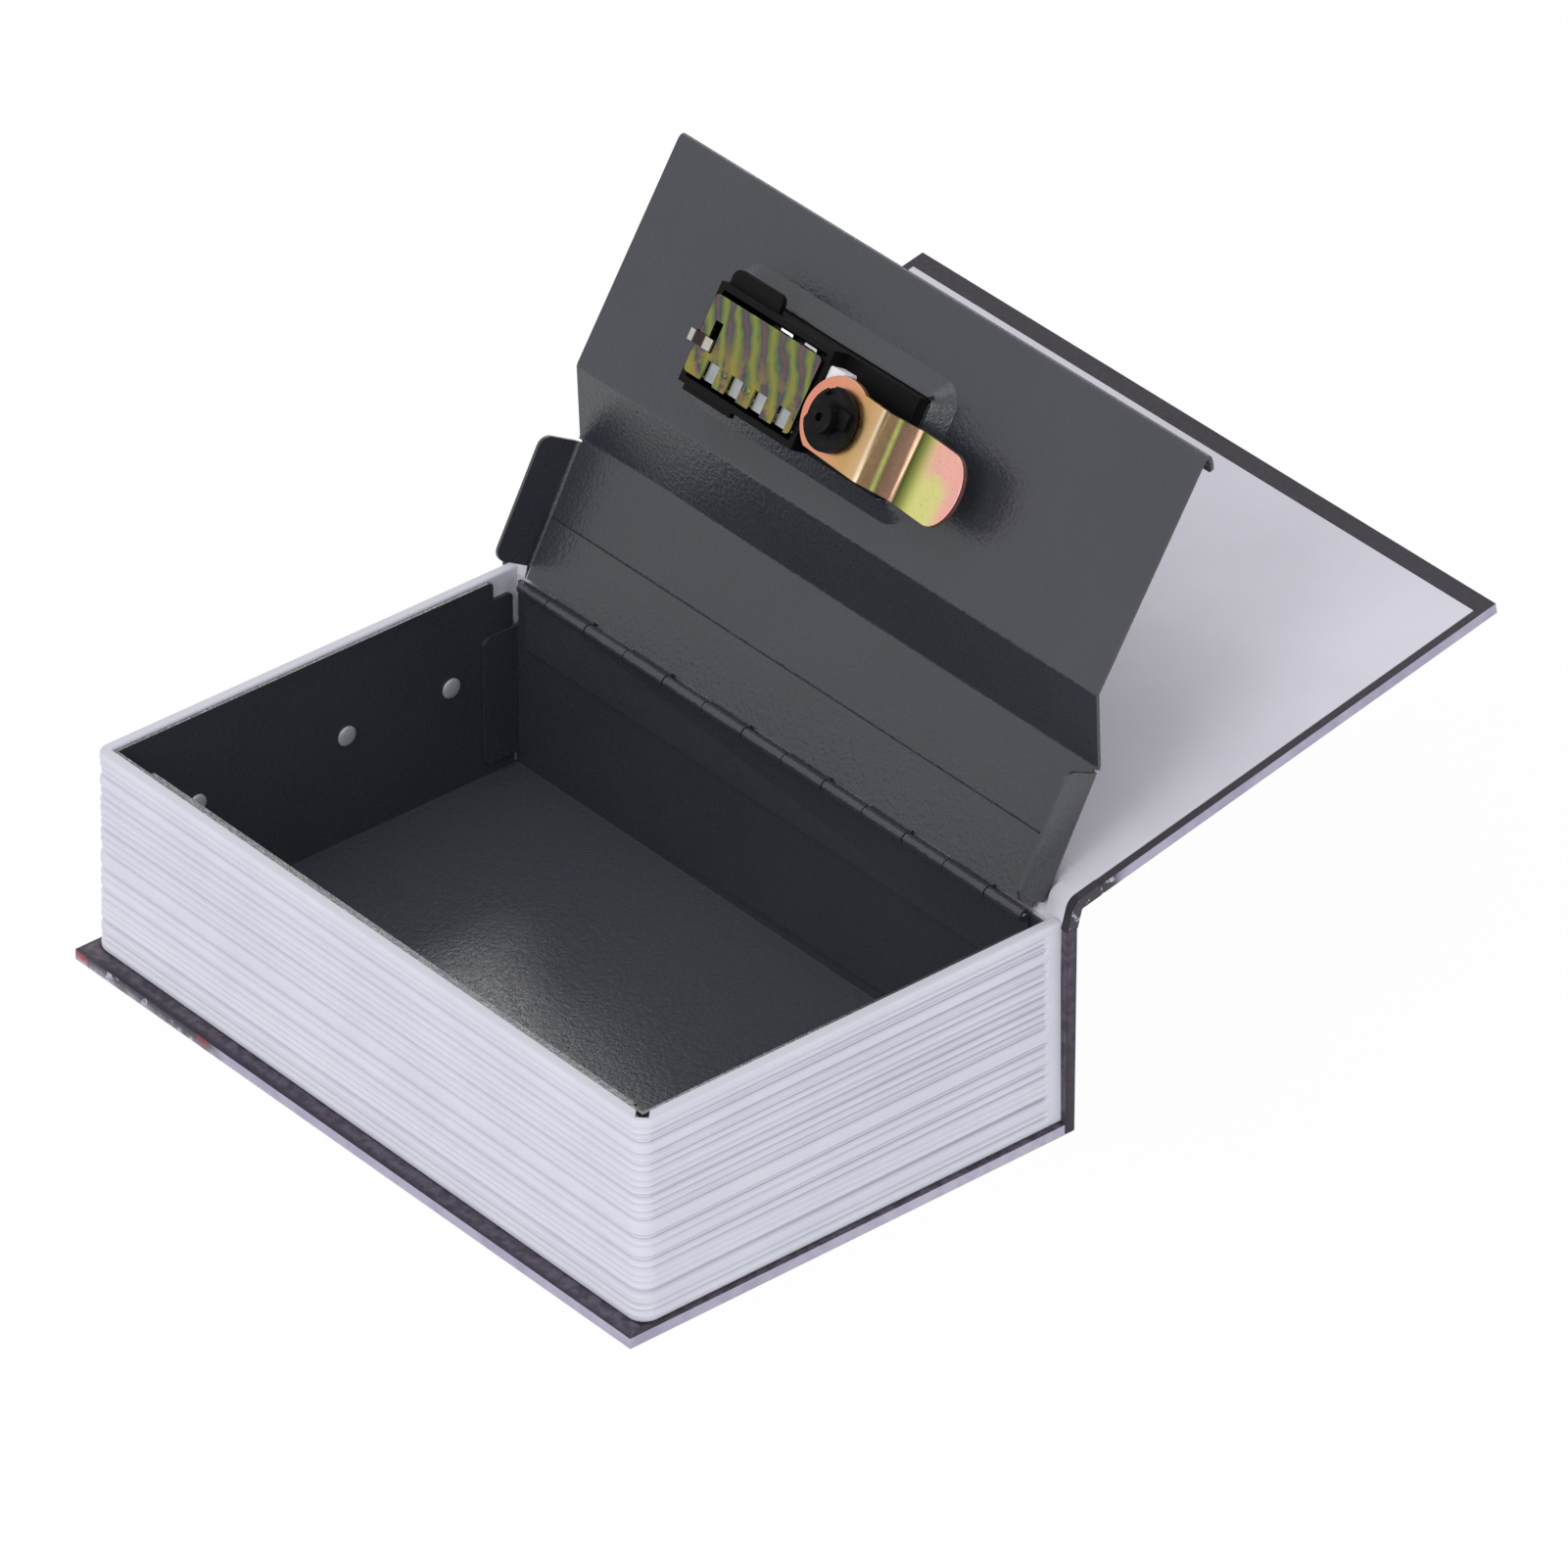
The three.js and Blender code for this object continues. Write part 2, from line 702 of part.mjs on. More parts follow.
function rivets() {
  const seat = trayInnerX - glueGap;
  rivetPlaces().forEach(({ side, y, name }) => {
    const profile = [new THREE.Vector2(0, 0), new THREE.Vector2(rivetHead, 0)];
    for (let k = 0; k < 4; k += 1) {
      const angle = (k / 4) * (Math.PI / 2);
      const radius = rivetHead * (0.86 + 0.14 * Math.cos(2 * angle)) * Math.cos(angle * 0.8);
      profile.push(new THREE.Vector2(radius, 0.25 + (rivetHeadRise - 0.25) * Math.sin(angle)));
    }
    profile.push(new THREE.Vector2(0, rivetHeadRise));
    const head = new THREE.LatheGeometry(profile, 16);
    head.rotateZ(Math.PI / 2);
    const dome = solid(head).translate([seat, 0, 0]);
    const shank = rod('x', rivetShank, seat - 0.1, trayOuterX + rivetShankReach, 0, 0, 12);
    const rivet = join(dome, shank).translate([0, y, rivetHeight]);
    piece(name, side > 0 ? rivet : rivet.mirror([1, 0, 0]), finishes.aluminium());
  });
}

// Piano hinge: knuckles take turns between the tray's leaf and the lid's
function knuckleSpans() {
  const spans = [];
  let from = hingeLeft;
  for (let i = 0; i < innerKnuckles + 2; i += 1) {
    let length = knucklePitch;
    if (i === 0) {
      length = firstKnuckle;
    } else if (i === innerKnuckles + 1) {
      length = lastKnuckle;
    }
    spans.push({ from: from + knuckleGap / 2, to: from + length - knuckleGap / 2, onTray: i % 2 === 0 });
    from += length;
  }
  return spans;
}

// A leaf hangs down behind the barrel, flush with its rear, round an axis at Y 0 and Z 0
function hingeLeaf(onTray) {
  const right = hingeLeft + hingeLength;
  const back = knuckleRadius;
  let leaf = block(hingeLeft, right, back - leafThickness, back, -leafWidth, -leafRelief);
  knuckleSpans().filter((span) => span.onTray === onTray).forEach(({ from, to }) => {
    leaf = join(
      leaf,
      rod('x', knuckleRadius, from, to, 0, 0, 20),
      block(from, to, back - leafThickness, back, -leafRelief - 0.1, 0),
    );
  });
  return cut(leaf, rod('x', pinRadius + pinClearance, hingeLeft - 1, right + 1, 0, 0, 12));
}

function trayHinge() {
  const leaf = hingeLeaf(true).translate([0, hingeY, hingeZ]);
  piece('tray_hinge_leaf', leaf, finishes.powderCoat());
  const pin = rod('x', pinRadius, hingeLeft, hingeLeft + hingeLength, hingeY, hingeZ, 12);
  piece('hinge_pin', pin, finishes.steel());
}

// Lid parts are drawn closed, round the hinge axis, and the group swings them open
const lid = new THREE.Group();
lid.position.set(0, hingeY, hingeZ);
lid.rotation.x = THREE.MathUtils.degToRad(-lidOpenAngle);
safe.add(lid);

function lidHinge() {
  const flat = hingeLeaf(false).mirror([0, 1, 0]).rotate([-90, 0, 0]);
  const leaf = flat.translate([0, 0, -glueGap]).rotate([stripTilt, 0, 0]);
  piece('lid_hinge_leaf', cut(leaf, rod('x', pinRadius + pinClearance, -halfLength, halfLength, 0, 0, 12)),
    finishes.powderCoat(), lid);
}

function lidPanel() {
  const halfWidth = lidHalf - panelSideStep;
  const lipFold = THREE.MathUtils.degToRad(135);
  const frontArc = sheetBend + sheet / 2;
  const frontPoint = -(lidReach - frontArc) - sheetBend * Math.tan(lipFold / 2);
  const lipEnd = lipLength * Math.SQRT1_2 + sheetBend;
  const tilt = THREE.MathUtils.degToRad(stripTilt);
  const hingeAxis = new THREE.Vector2(0, 0);
  const line = foldedLine([
    new THREE.Vector2(-lidEdgeStart, stripMid).rotateAround(hingeAxis, tilt),
    new THREE.Vector2(-stripLength, stripMid).rotateAround(hingeAxis, tilt),
    new THREE.Vector2(-stripLength - stepRun, panelMid),
    new THREE.Vector2(frontPoint, panelMid),
    new THREE.Vector2(frontPoint + lipEnd, panelMid + lipEnd),
  ], [sheetBend, sheetBend, sheetBend]);
  const folded = alongX(sheetShape(line, sheet), -halfWidth, halfWidth);
  const flangeShape = roundedShape([
    [-flangeStart, 0],
    [-flangeStart, -flangeDepth, flangeRound],
    [-stripLength, -flangeDepth, flangeRound],
    [-stripLength, 0],
  ]);
  const flange = alongX(flangeShape, -sheet, 0)
    .rotate([0, -flangeSplay, 0])
    .translate([lidHalf, 0, stripInner + sheet])
    .rotate([stripTilt, 0, 0]);
  const cornerShape = new THREE.Shape([
    new THREE.Vector2(lidHalf - stripCornerCut, 1),
    new THREE.Vector2(lidHalf - stripCornerCut, -lidEdgeStart),
    new THREE.Vector2(lidHalf, -flangeStart),
    new THREE.Vector2(lidHalf + 1, -flangeStart),
    new THREE.Vector2(lidHalf + 1, 1),
  ]);
  const corner = alongZ(cornerShape, -1, closedHeight);
  const outline = (inset) => rectangle(
    -pocketLeft + inset, pocketRight - inset,
    lockY - pocketHalfWidth + inset, lockY + pocketHalfWidth - inset,
    pocketCorner,
  ).getPoints(3);
  const raised = taper(outline(pocketSlope), outline(0), pocketFloorInner, panelInner + 0.1);
  const hollow = taper(
    outline(pocketSlope + sheet * 0.6), outline(sheet * 0.4),
    pocketFloorOuter, panelOuter + 0.1,
  );
  const opening = block(
    -openingLeft, openingRight,
    lockY - openingHalfWidth, lockY + openingHalfWidth,
    pocketFloorInner - 1, panelOuter + 1,
  );
  const body = join(
    cut(folded, corner, corner.mirror([1, 0, 0])),
    flange,
    flange.mirror([1, 0, 0]),
    raised,
  );
  piece('lid_panel', cut(body, hollow, opening), finishes.powderCoat(), lid);
}

// Dial places along the lock
function dialPlaces() {
  return Array.from({ length: dialCount }, (_, i) => -dialFirst + i * dialPitch);
}

// Lock body: bezel outside the lid, housing through it, back plate, axle and detent comb
function lockBody() {
  const bezelTop = panelOuter + bezelProud;
  const bezelBottom = pocketFloorOuter + glueGap;
  const inset = pocketSlope + sheet * 0.6 + 0.3;
  const bezelShape = rectangle(
    -pocketLeft + inset, pocketRight - inset,
    lockY - pocketHalfWidth + inset, lockY + pocketHalfWidth - inset,
    pocketCorner,
  );
  const windows = dialPlaces().map((x) => block(
    x - dialWidth / 2 - dialWindowFit, x + dialWidth / 2 + dialWindowFit,
    lockY - dialRadius - dialWindowFit, lockY + dialRadius + dialWindowFit,
    bezelBottom - 1, bezelTop + 1,
  ));
  const knobBore = rod('z', spindleRadius + 0.3, bezelBottom - 1, bezelTop + 1, 0, spindleY);
  const bezel = cut(alongZ(bezelShape, bezelBottom, bezelTop), ...windows, knobBore);
  piece('lock_bezel', bezel, finishes.blackPlastic(), lid);

  const outerLeft = -openingLeft + lockFit;
  const outerRight = openingRight - lockFit;
  const halfWidth = openingHalfWidth - lockFit;
  const cellRight = -plateRight + housingWall;
  const baseBack = panelInner - housingBaseRise;
  const cell = block(outerLeft, cellRight, lockY - halfWidth, lockY + halfWidth, housingBack, housingTop);
  const base = block(
    cellRight - 0.1, outerRight,
    lockY - halfWidth, lockY + halfWidth,
    baseBack, housingTop,
  );
  const boss = rod('z', bossRadius, housingBack, housingTop - 1, 0, spindleY, 32);
  const earBack = panelInner - earRise - earThickness;
  const ear = block(
    outerLeft + 0.6, outerLeft + 0.6 + earLength,
    lockY - halfWidth - earReach, lockY - halfWidth + 0.1,
    earBack, earBack + earThickness,
  );
  const foot = block(
    outerLeft + 0.6, outerLeft + earLength,
    lockY + halfWidth - 0.1, lockY + halfWidth + 1.6,
    earBack, earBack + earThickness,
  );
  const hollow = block(
    outerLeft + housingWall, cellRight - housingWall,
    lockY - halfWidth + housingWall, lockY + halfWidth - housingWall,
    housingBack - 1, housingTop + 1,
  );
  const bore = rod('z', spindleRadius + 0.3, housingBack - 1, housingTop + 1, 0, spindleY);
  const housing = cut(join(cell, base, boss, ear, foot), hollow, bore);
  piece('lock_housing', housing, finishes.blackPlastic(), lid);

  const axle = rod('x', axleRadius, outerLeft + housingWall + 0.1, cellRight - housingWall - 0.1,
    lockY, dialAxisZ, 16);
  piece('dial_axle', axle, finishes.steel(), lid);

  const notches = [];
  const tabs = [];
  const combY = lockY + dialRadius + 0.7;
  for (let i = 0; i <= dialCount; i += 1) {
    const x = -plateNotchStart + i * dialPitch;
    notches.push(block(
      x, x + plateNotch,
      lockY + plateHalfWidth - plateNotchDepth, lockY + plateHalfWidth + 1,
      plateFace - plateThickness - 1, plateFace + 1,
    ));
    const tabLeft = x + combTabSlit;
    const tabRight = tabLeft + combTabWidth;
    tabs.push(join(
      block(tabLeft, tabRight, combY - combTabReach, combY + 0.5, plateFace + 0.1, plateFace + 0.6),
      block(tabLeft, tabRight, combY, combY + 0.5, plateFace + 0.1, plateFace + 3),
    ));
  }
  const slotNear = lockY + leverOffset - leverWidth / 2 - leverTravel - slotFit;
  const slotFar = lockY + leverOffset + leverWidth / 2 + slotFit;
  const slot = block(
    -leverReach - 2.1, -leverReach + slotFit,
    slotNear, slotFar,
    plateFace - plateThickness - 1, plateFace + 1,
  );
  const plateShape = rectangle(-plateLeft, -plateRight, lockY - plateHalfWidth, lockY + plateHalfWidth, 1.2);
  const plate = cut(alongZ(plateShape, plateFace - plateThickness, plateFace), ...notches, slot);
  piece('lock_back_plate', plate, finishes.zincYellow(), lid);

  const combLeft = -plateLeft + housingWall;
  const fingers = dialPlaces().map((x) => block(
    x - 1, x + 1,
    combY - 0.35, combY + 0.1,
    dialAxisZ - 1, dialAxisZ + 1,
  ));
  const combBody = block(combLeft, -plateRight - 1.2, combY, combY + 0.5, dialAxisZ - 6.2, dialAxisZ + 1);
  piece('detent_comb', join(combBody, ...fingers, ...tabs), finishes.steel(), lid);

  const slideTop = baseBack - 0.1;
  const slide = alongZ(
    rectangle(-slideStart, -slideEnd, lockY - halfWidth + slideInset, spindleY - slideReach, 0.6),
    slideTop - 3.8, slideTop,
  );
  piece('code_slide', slide, finishes.whitePlastic(), lid);
}

// Number dials: ten flats with a groove between them, turning on the axle
function numberDials() {
  dialPlaces().forEach((x, i) => {
    const outline = [];
    for (let k = 0; k < dialFlats; k += 1) {
      const middle = Math.PI / 2 + (2 * Math.PI * k) / dialFlats;
      const half = (0.72 * Math.PI) / dialFlats;
      [-half, half].forEach((offset) => {
        outline.push(new THREE.Vector2(
          dialRadius * Math.cos(middle + offset),
          dialRadius * Math.sin(middle + offset),
        ));
      });
      const groove = middle + Math.PI / dialFlats;
      outline.push(new THREE.Vector2(
        (dialRadius - dialGroove) * Math.cos(groove),
        (dialRadius - dialGroove) * Math.sin(groove),
      ));
    }
    const wheel = alongX(new THREE.Shape(outline), -dialWidth / 2, dialWidth / 2);
    const bore = rod('x', axleRadius + 0.25, -dialWidth, dialWidth, 0, 0, 16);
    const dial = cut(wheel, bore).translate([x, lockY, dialAxisZ]);
    piece(`number_dial_${i + 1}`, dial, finishes.blackPlastic(), lid);
  });
}

// Code lever: a steel clip over the back plate's edge that slides along its slot
function codeLever() {
  const y0 = lockY + leverOffset - leverWidth / 2;
  const y1 = y0 + leverWidth;
  const back = plateFace - plateThickness - lockFit;
  const legX = -openingLeft - leverSheet - lockFit;
  const lever = join(
    block(legX, -leverReach, y0, y1, back - leverSheet, back),
    block(legX, legX + leverSheet, y0, y1, back - leverSheet, back + 4.2),
    block(-leverReach - 1.4, -leverReach, y0, y1, back - leverSheet, back + plateThickness + 0.1),
  );
  piece('code_lever', lever, finishes.steel(), lid);
}

// Knob, cam and cap turn together. They are drawn round the spindle, pointing along +X.
function turnKnob() {
  const turning = new THREE.Group();
  turning.position.set(0, spindleY, 0);
  turning.rotation.z = THREE.MathUtils.degToRad(camRestTilt);
  lid.add(turning);

  const bezelTop = panelOuter + bezelProud;
  const discBottom = bezelTop + 0.3;
  const discTop = discBottom + knobDisc;
  const capTop = camBack - glueGap;
  const grip = alongZ(
    rectangle(-knobRadius * 0.93, knobRadius * 0.93, -gripWidth / 2, gripWidth / 2, 1.6),
    discTop - 0.1, discTop + gripHeight,
  );
  const half = spindleSquare / 2;
  const knob = join(
    rod('z', knobRadius, discBottom, discTop, 0, 0, 36),
    grip,
    rod('z', spindleRadius, camFace + 0.2, discBottom + 0.1, 0, 0),
    block(-half, half, -half, half, capTop - capFlange, camFace + 0.3),
  );
  piece('turn_knob', knob, finishes.blackPlastic(), turning);

  const middle = camFace - camThickness / 2;
  const line = foldedLine([
    new THREE.Vector2(-camHubRadius - 1, middle),
    new THREE.Vector2(camJoggleStart, middle),
    new THREE.Vector2(camJoggleStart + camJoggleRun, middle + camJoggleDrop),
    new THREE.Vector2(camReach + 1, middle + camJoggleDrop),
  ], [2, 2]);
  const strip = alongY(sheetShape(line, camThickness), -camHubRadius - 1, camHubRadius + 1);
  const outline = new THREE.Shape();
  const tipStart = camReach - camTipDepth;
  outline.moveTo(0, camHalfWidth);
  outline.lineTo(0, -camHalfWidth);
  outline.lineTo(tipStart, -camHalfWidth);
  outline.absellipse(tipStart, 0, camTipDepth, camHalfWidth, -Math.PI / 2, Math.PI / 2, false);
  outline.lineTo(0, camHalfWidth);
  const low = camBack - 1;
  const high = camFace + camJoggleDrop + 1;
  const hubSide = block(
    -camHubRadius - 1, camHubRadius + 1,
    camHalfWidth, camHubRadius + 1,
    low - 1, high + 1,
  );
  const hub = cut(rod('z', camHubRadius, low, high, 0, 0, 48), hubSide);
  const plan = join(alongZ(outline, low, high), hub);
  const hole = half + 0.15;
  const cam = cut(strip.intersect(plan), block(-hole, hole, -hole, hole, camBack - 1, camFace + 1));
  piece('lock_cam', cam, finishes.zincYellow(), turning);

  const capProfile = [
    new THREE.Vector2(0, 0),
    new THREE.Vector2(capRadius - 0.5, 0),
    new THREE.Vector2(capRadius, 0.6),
    new THREE.Vector2(capRadius, capFlange),
    new THREE.Vector2(0, capFlange),
  ];
  const flange = new THREE.LatheGeometry(capProfile, 32);
  flange.rotateX(-Math.PI / 2);
  flange.translate(0, 0, capTop);
  const boss = rod('z', capHubRadius, capTop - capFlange - capHubRise, capTop - capFlange + 0.1, 0, 0);
  const dimple = rod('z', capHubRadius * 0.3, capTop - capFlange - capHubRise - 1,
    capTop - capFlange - capHubRise + 1.2, 0, 0, 12);
  const well = block(-hole, hole, -hole, hole, capTop - capFlange - 0.4, capTop + 1);
  const cap = cut(join(solid(flange), boss), well, dimple);
  piece('cam_cap', cap, finishes.blackPlastic(), turning);
}

backCover();
spine();
coverCrease();
frontCover();
pageBlock();
steelTray();
rivets();
trayHinge();
lidPanel();
lidHinge();
lockBody();
numberDials();
codeLever();
turnKnob();

export default safe;
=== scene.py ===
import math

import bmesh
import bpy
from mathutils import Matrix, Vector


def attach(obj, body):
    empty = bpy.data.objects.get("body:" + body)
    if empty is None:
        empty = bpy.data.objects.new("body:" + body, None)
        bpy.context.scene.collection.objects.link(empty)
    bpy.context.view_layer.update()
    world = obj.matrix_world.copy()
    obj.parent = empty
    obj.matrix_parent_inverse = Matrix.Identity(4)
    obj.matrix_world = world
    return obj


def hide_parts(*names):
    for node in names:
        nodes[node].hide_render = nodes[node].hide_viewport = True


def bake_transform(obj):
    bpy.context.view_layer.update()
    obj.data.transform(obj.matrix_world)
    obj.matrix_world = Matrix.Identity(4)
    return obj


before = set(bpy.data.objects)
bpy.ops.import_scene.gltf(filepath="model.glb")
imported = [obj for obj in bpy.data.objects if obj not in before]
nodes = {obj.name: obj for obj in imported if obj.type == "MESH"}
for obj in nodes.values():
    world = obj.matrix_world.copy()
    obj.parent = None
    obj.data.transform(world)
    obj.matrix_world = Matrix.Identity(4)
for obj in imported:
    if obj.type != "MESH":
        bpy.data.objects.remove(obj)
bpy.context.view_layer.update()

mm = 0.001


def clearSelection():
    if bpy.context.object and bpy.context.object.mode != "OBJECT":
        bpy.ops.object.mode_set(mode="OBJECT")
    bpy.ops.object.select_all(action="DESELECT")


def focus(obj):
    clearSelection()
    obj.select_set(True)
    bpy.context.view_layer.objects.active = obj


def middleOf(part):
    if isinstance(part, bmesh.types.BMVert):
        return part.co
    if isinstance(part, bmesh.types.BMEdge):
        return (part.verts[0].co + part.verts[1].co) / 2
    return part.calc_center_median()


# Enters edit mode if needed and selects what passes the test. Places are given in millimetres.
def choose(obj, kind, test):
    if obj.mode != "EDIT":
        focus(obj)
        bpy.ops.object.mode_set(mode="EDIT")
    bpy.ops.mesh.select_mode(type=kind)
    bpy.ops.mesh.select_all(action="DESELECT")
    shape = bmesh.from_edit_mesh(obj.data)
    parts = {"VERT": shape.verts, "EDGE": shape.edges, "FACE": shape.faces}[kind]
    for part in parts:
        if test(part, middleOf(part) / mm):
            part.select_set(True)
    shape.select_flush_mode()
    bmesh.update_edit_mesh(obj.data)


def chooseAll(obj, kind="FACE"):
    choose(obj, kind, lambda part, place: True)


def near(first, second, reach=0.05):
    return abs(first - second) < reach


# How far an edge reaches along an axis, in millimetres
def spread(edge, axis):
    return abs(edge.verts[0].co[axis] - edge.verts[1].co[axis]) / mm


def move(x, y, z):
    bpy.ops.transform.translate(value=(x * mm, y * mm, z * mm))


def extrude(x, y, z):
    bpy.ops.mesh.extrude_region_move(TRANSFORM_OT_translate={"value": (x * mm, y * mm, z * mm)})


def bevelChosen(offset, segments, affect):
    bpy.ops.mesh.bevel(offset=offset * mm, segments=segments, affect=affect)


def endEdit():
    bpy.ops.object.mode_set(mode="OBJECT")


# Joins vertices that meet, turns the faces outwards and leaves edit mode
def closeUp(obj, reach):
    chooseAll(obj)
    bpy.ops.mesh.remove_doubles(threshold=reach * mm)
    bpy.ops.mesh.normals_make_consistent(inside=False)
    endEdit()


# Gives the faces that pass the test the piece's material of that number
def paintFaces(obj, index, test):
    choose(obj, "FACE", test)
    obj.active_material_index = index
    bpy.ops.object.material_slot_assign()
    endEdit()


def applyPlace(obj):
    focus(obj)
    bpy.ops.object.transform_apply(location=True, rotation=True, scale=True)


def addBetween(add, name, low, high):
    clearSelection()
    low, high = Vector(low) * mm, Vector(high) * mm
    add(size=1, location=(low + high) / 2)
    added = bpy.context.object
    added.name = name
    added.scale = [length or 1 for length in high - low]
    applyPlace(added)
    return added


def addBlock(name, low, high):
    return addBetween(bpy.ops.mesh.primitive_cube_add, name, low, high)


def addPlane(name, low, high):
    return addBetween(bpy.ops.mesh.primitive_plane_add, name, low, high)


def addModifier(obj, kind, **values):
    focus(obj)
    modifier = obj.modifiers.new(kind.title(), kind)
    for key, value in values.items():
        setattr(modifier, key, value)
    bpy.ops.object.modifier_apply(modifier=modifier.name)


def combine(obj, tool, operation="DIFFERENCE"):
    addModifier(obj, "BOOLEAN", object=tool, operation=operation, solver="EXACT")
    bpy.data.objects.remove(tool)


def joinTo(obj, parts):
    clearSelection()
    for part in (*parts, obj):
        part.select_set(True)
    bpy.context.view_layer.objects.active = obj
    bpy.ops.object.join()


def softenEdges(obj, width, angle=40, segments=2):
    addModifier(obj, "BEVEL", width=width * mm, segments=segments, limit_method="ANGLE",
                angle_limit=math.radians(angle), harden_normals=False, miter_outer="MITER_ARC")


def smooth(obj, angle=35):
    focus(obj)
    bpy.ops.object.shade_smooth_by_angle(angle=math.radians(angle))
    addModifier(obj, "WEIGHTED_NORMAL", keep_sharp=True)


lidSwing = {"axisY": 53.45, "axisZ": 49.8, "openAngle": 122.1}


def lidPlace():
    place = Matrix.Translation((0, lidSwing["axisY"] * mm, lidSwing["axisZ"] * mm))
    return place @ Matrix.Rotation(math.radians(-lidSwing["openAngle"]), 4, "X")


# Turns a piece that was modelled closed, with the hinge axis as X, to the open lid's place
def swingOpen(obj):
    obj.matrix_world = lidPlace() @ obj.matrix_world
    applyPlace(obj)


# A lid piece is shaped in the closed lid's frame, and then swung open again
def shapeClosed(obj, shape):
    obj.matrix_world = lidPlace().inverted() @ obj.matrix_world
    applyPlace(obj)
    shape(obj)
    swingOpen(obj)


# A piece without a body stays unattached
def dress(obj, body, slotName, *materials, stands=()):
    obj.data.materials.clear()
    for material in materials:
        obj.data.materials.append(material)
    if body:
        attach(obj, body)
    if stands:
        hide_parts(*stands)
    return obj


copying = {"mergeReach": 0.002, "flatAngle": 0.6}


# A merged copy of a CAD node, with its edges softened, that stands for the node
def softCopy(node, name, body, slotName, *materials, width=0.1, segments=2, shape=None):
    clearSelection()
    copy = bpy.data.objects.new(name, nodes[node].data.copy())
    bpy.context.scene.collection.objects.link(copy)
    chooseAll(copy)
    bpy.ops.mesh.remove_doubles(threshold=copying["mergeReach"] * mm)
    bpy.ops.mesh.dissolve_limited(angle_limit=math.radians(copying["flatAngle"]))
    endEdit()
    if shape:
        shapeClosed(copy, shape)
    softenEdges(copy, width, segments=segments)
    smooth(copy)
    return dress(copy, body, slotName, *materials, stands=(node,))


# Colours are written as they show on a screen, 0 to 255
def tone(red, green, blue):
    def linear(value):
        share = value / 255
        return share / 12.92 if share <= 0.04045 else ((share + 0.055) / 1.055) ** 2.4
    return (linear(red), linear(green), linear(blue), 1)


# Feeds a socket from another socket or with a plain value
def feed(tree, socket, value):
    if isinstance(value, bpy.types.NodeSocket):
        tree.links.new(value, socket)
    else:
        socket.default_value = value


# A space in the name of an input is written as an underscore
def addNode(tree, kind, **inputs):
    node = tree.nodes.new("ShaderNode" + kind)
    for key, value in inputs.items():
        feed(tree, node.inputs[key.replace("_", " ")], value)
    return node


def mathNode(tree, operation, first, second):
    node = addNode(tree, "Math")
    node.operation = operation
    feed(tree, node.inputs[0], first)
    feed(tree, node.inputs[1], second)
    return node.outputs[0]


def times(tree, first, second):
    return mathNode(tree, "MULTIPLY", first, second)


def emptyTree(owner):
    owner.use_nodes = True
    owner.node_tree.nodes.clear()
    return owner.node_tree


# Camera at the photograph's angle, and its frame of 1601 by 1601
view = {
    "azimuth": 49.816, "elevation": 33.664, "distance": 2.864, "lens": 320.4, "sensor": 36, "clipEnd": 20,
    "targetRight": 43.80, "targetUp": 53.36,
}


def makeCamera():
    azimuth, elevation = math.radians(view["azimuth"]), math.radians(view["elevation"])
    back = Vector((
        math.sin(azimuth) * math.cos(elevation),
        -math.cos(azimuth) * math.cos(elevation),
        math.sin(elevation),
    ))
    right = Vector((math.cos(azimuth), math.sin(azimuth), 0))
    up = back.cross(right)
    target = (right * view["targetRight"] + up * view["targetUp"]) * mm
    camera = bpy.data.objects.new("camera", bpy.data.cameras.new("camera"))
    bpy.context.scene.collection.objects.link(camera)
    camera.data.lens = view["lens"]
    camera.data.sensor_width = view["sensor"]
    camera.data.sensor_fit = "HORIZONTAL"
    camera.data.clip_end = view["clipEnd"]
    facing = Matrix((right, up, back)).transposed().to_4x4()
    camera.matrix_world = Matrix.Translation(target + back * view["distance"]) @ facing
    bpy.context.scene.camera = camera


studio = {
    "worldStrength": 0.64, "worldTint": (0.97, 0.98, 1.0),
    "lights": {
        "keySoftbox": {"from": (0.55, -2.2, 1.35), "size": 1.2, "energy": 14.4},
        "sideSoftbox": {"from": (1.9, 0.1, 0.8), "size": 1.9, "energy": 5.5},
        "topSoftbox": {"from": (-0.3, -0.5, 2.2), "size": 1.4, "energy": 6.5},
        "backSoftbox": {"from": (-1.05, 0.88, 0.93), "size": 0.42, "energy": 2.4},
    },
    "floorReach": 6000, "floorLevel": -0.2, "floorTone": (244, 244, 245), "floorGlow": 0.97,
}


# One for what the camera sees straight, mirrored or through glass, and zero for other light
def rayMask(tree):
    rays = addNode(tree, "LightPath").outputs
    seen = mathNode(tree, "MAXIMUM", rays["Is Camera Ray"], rays["Is Glossy Ray"])
    return mathNode(tree, "MAXIMUM", seen, rays["Is Transmission Ray"])


# The second shader shows where the mask is one
def showMixed(tree, outputKind, mask, first, second):
    mix = addNode(tree, "MixShader")
    for socket, value in zip(mix.inputs, (mask, first.outputs[0], second.outputs[0])):
        feed(tree, socket, value)
    addNode(tree, outputKind, Surface=mix.outputs[0])


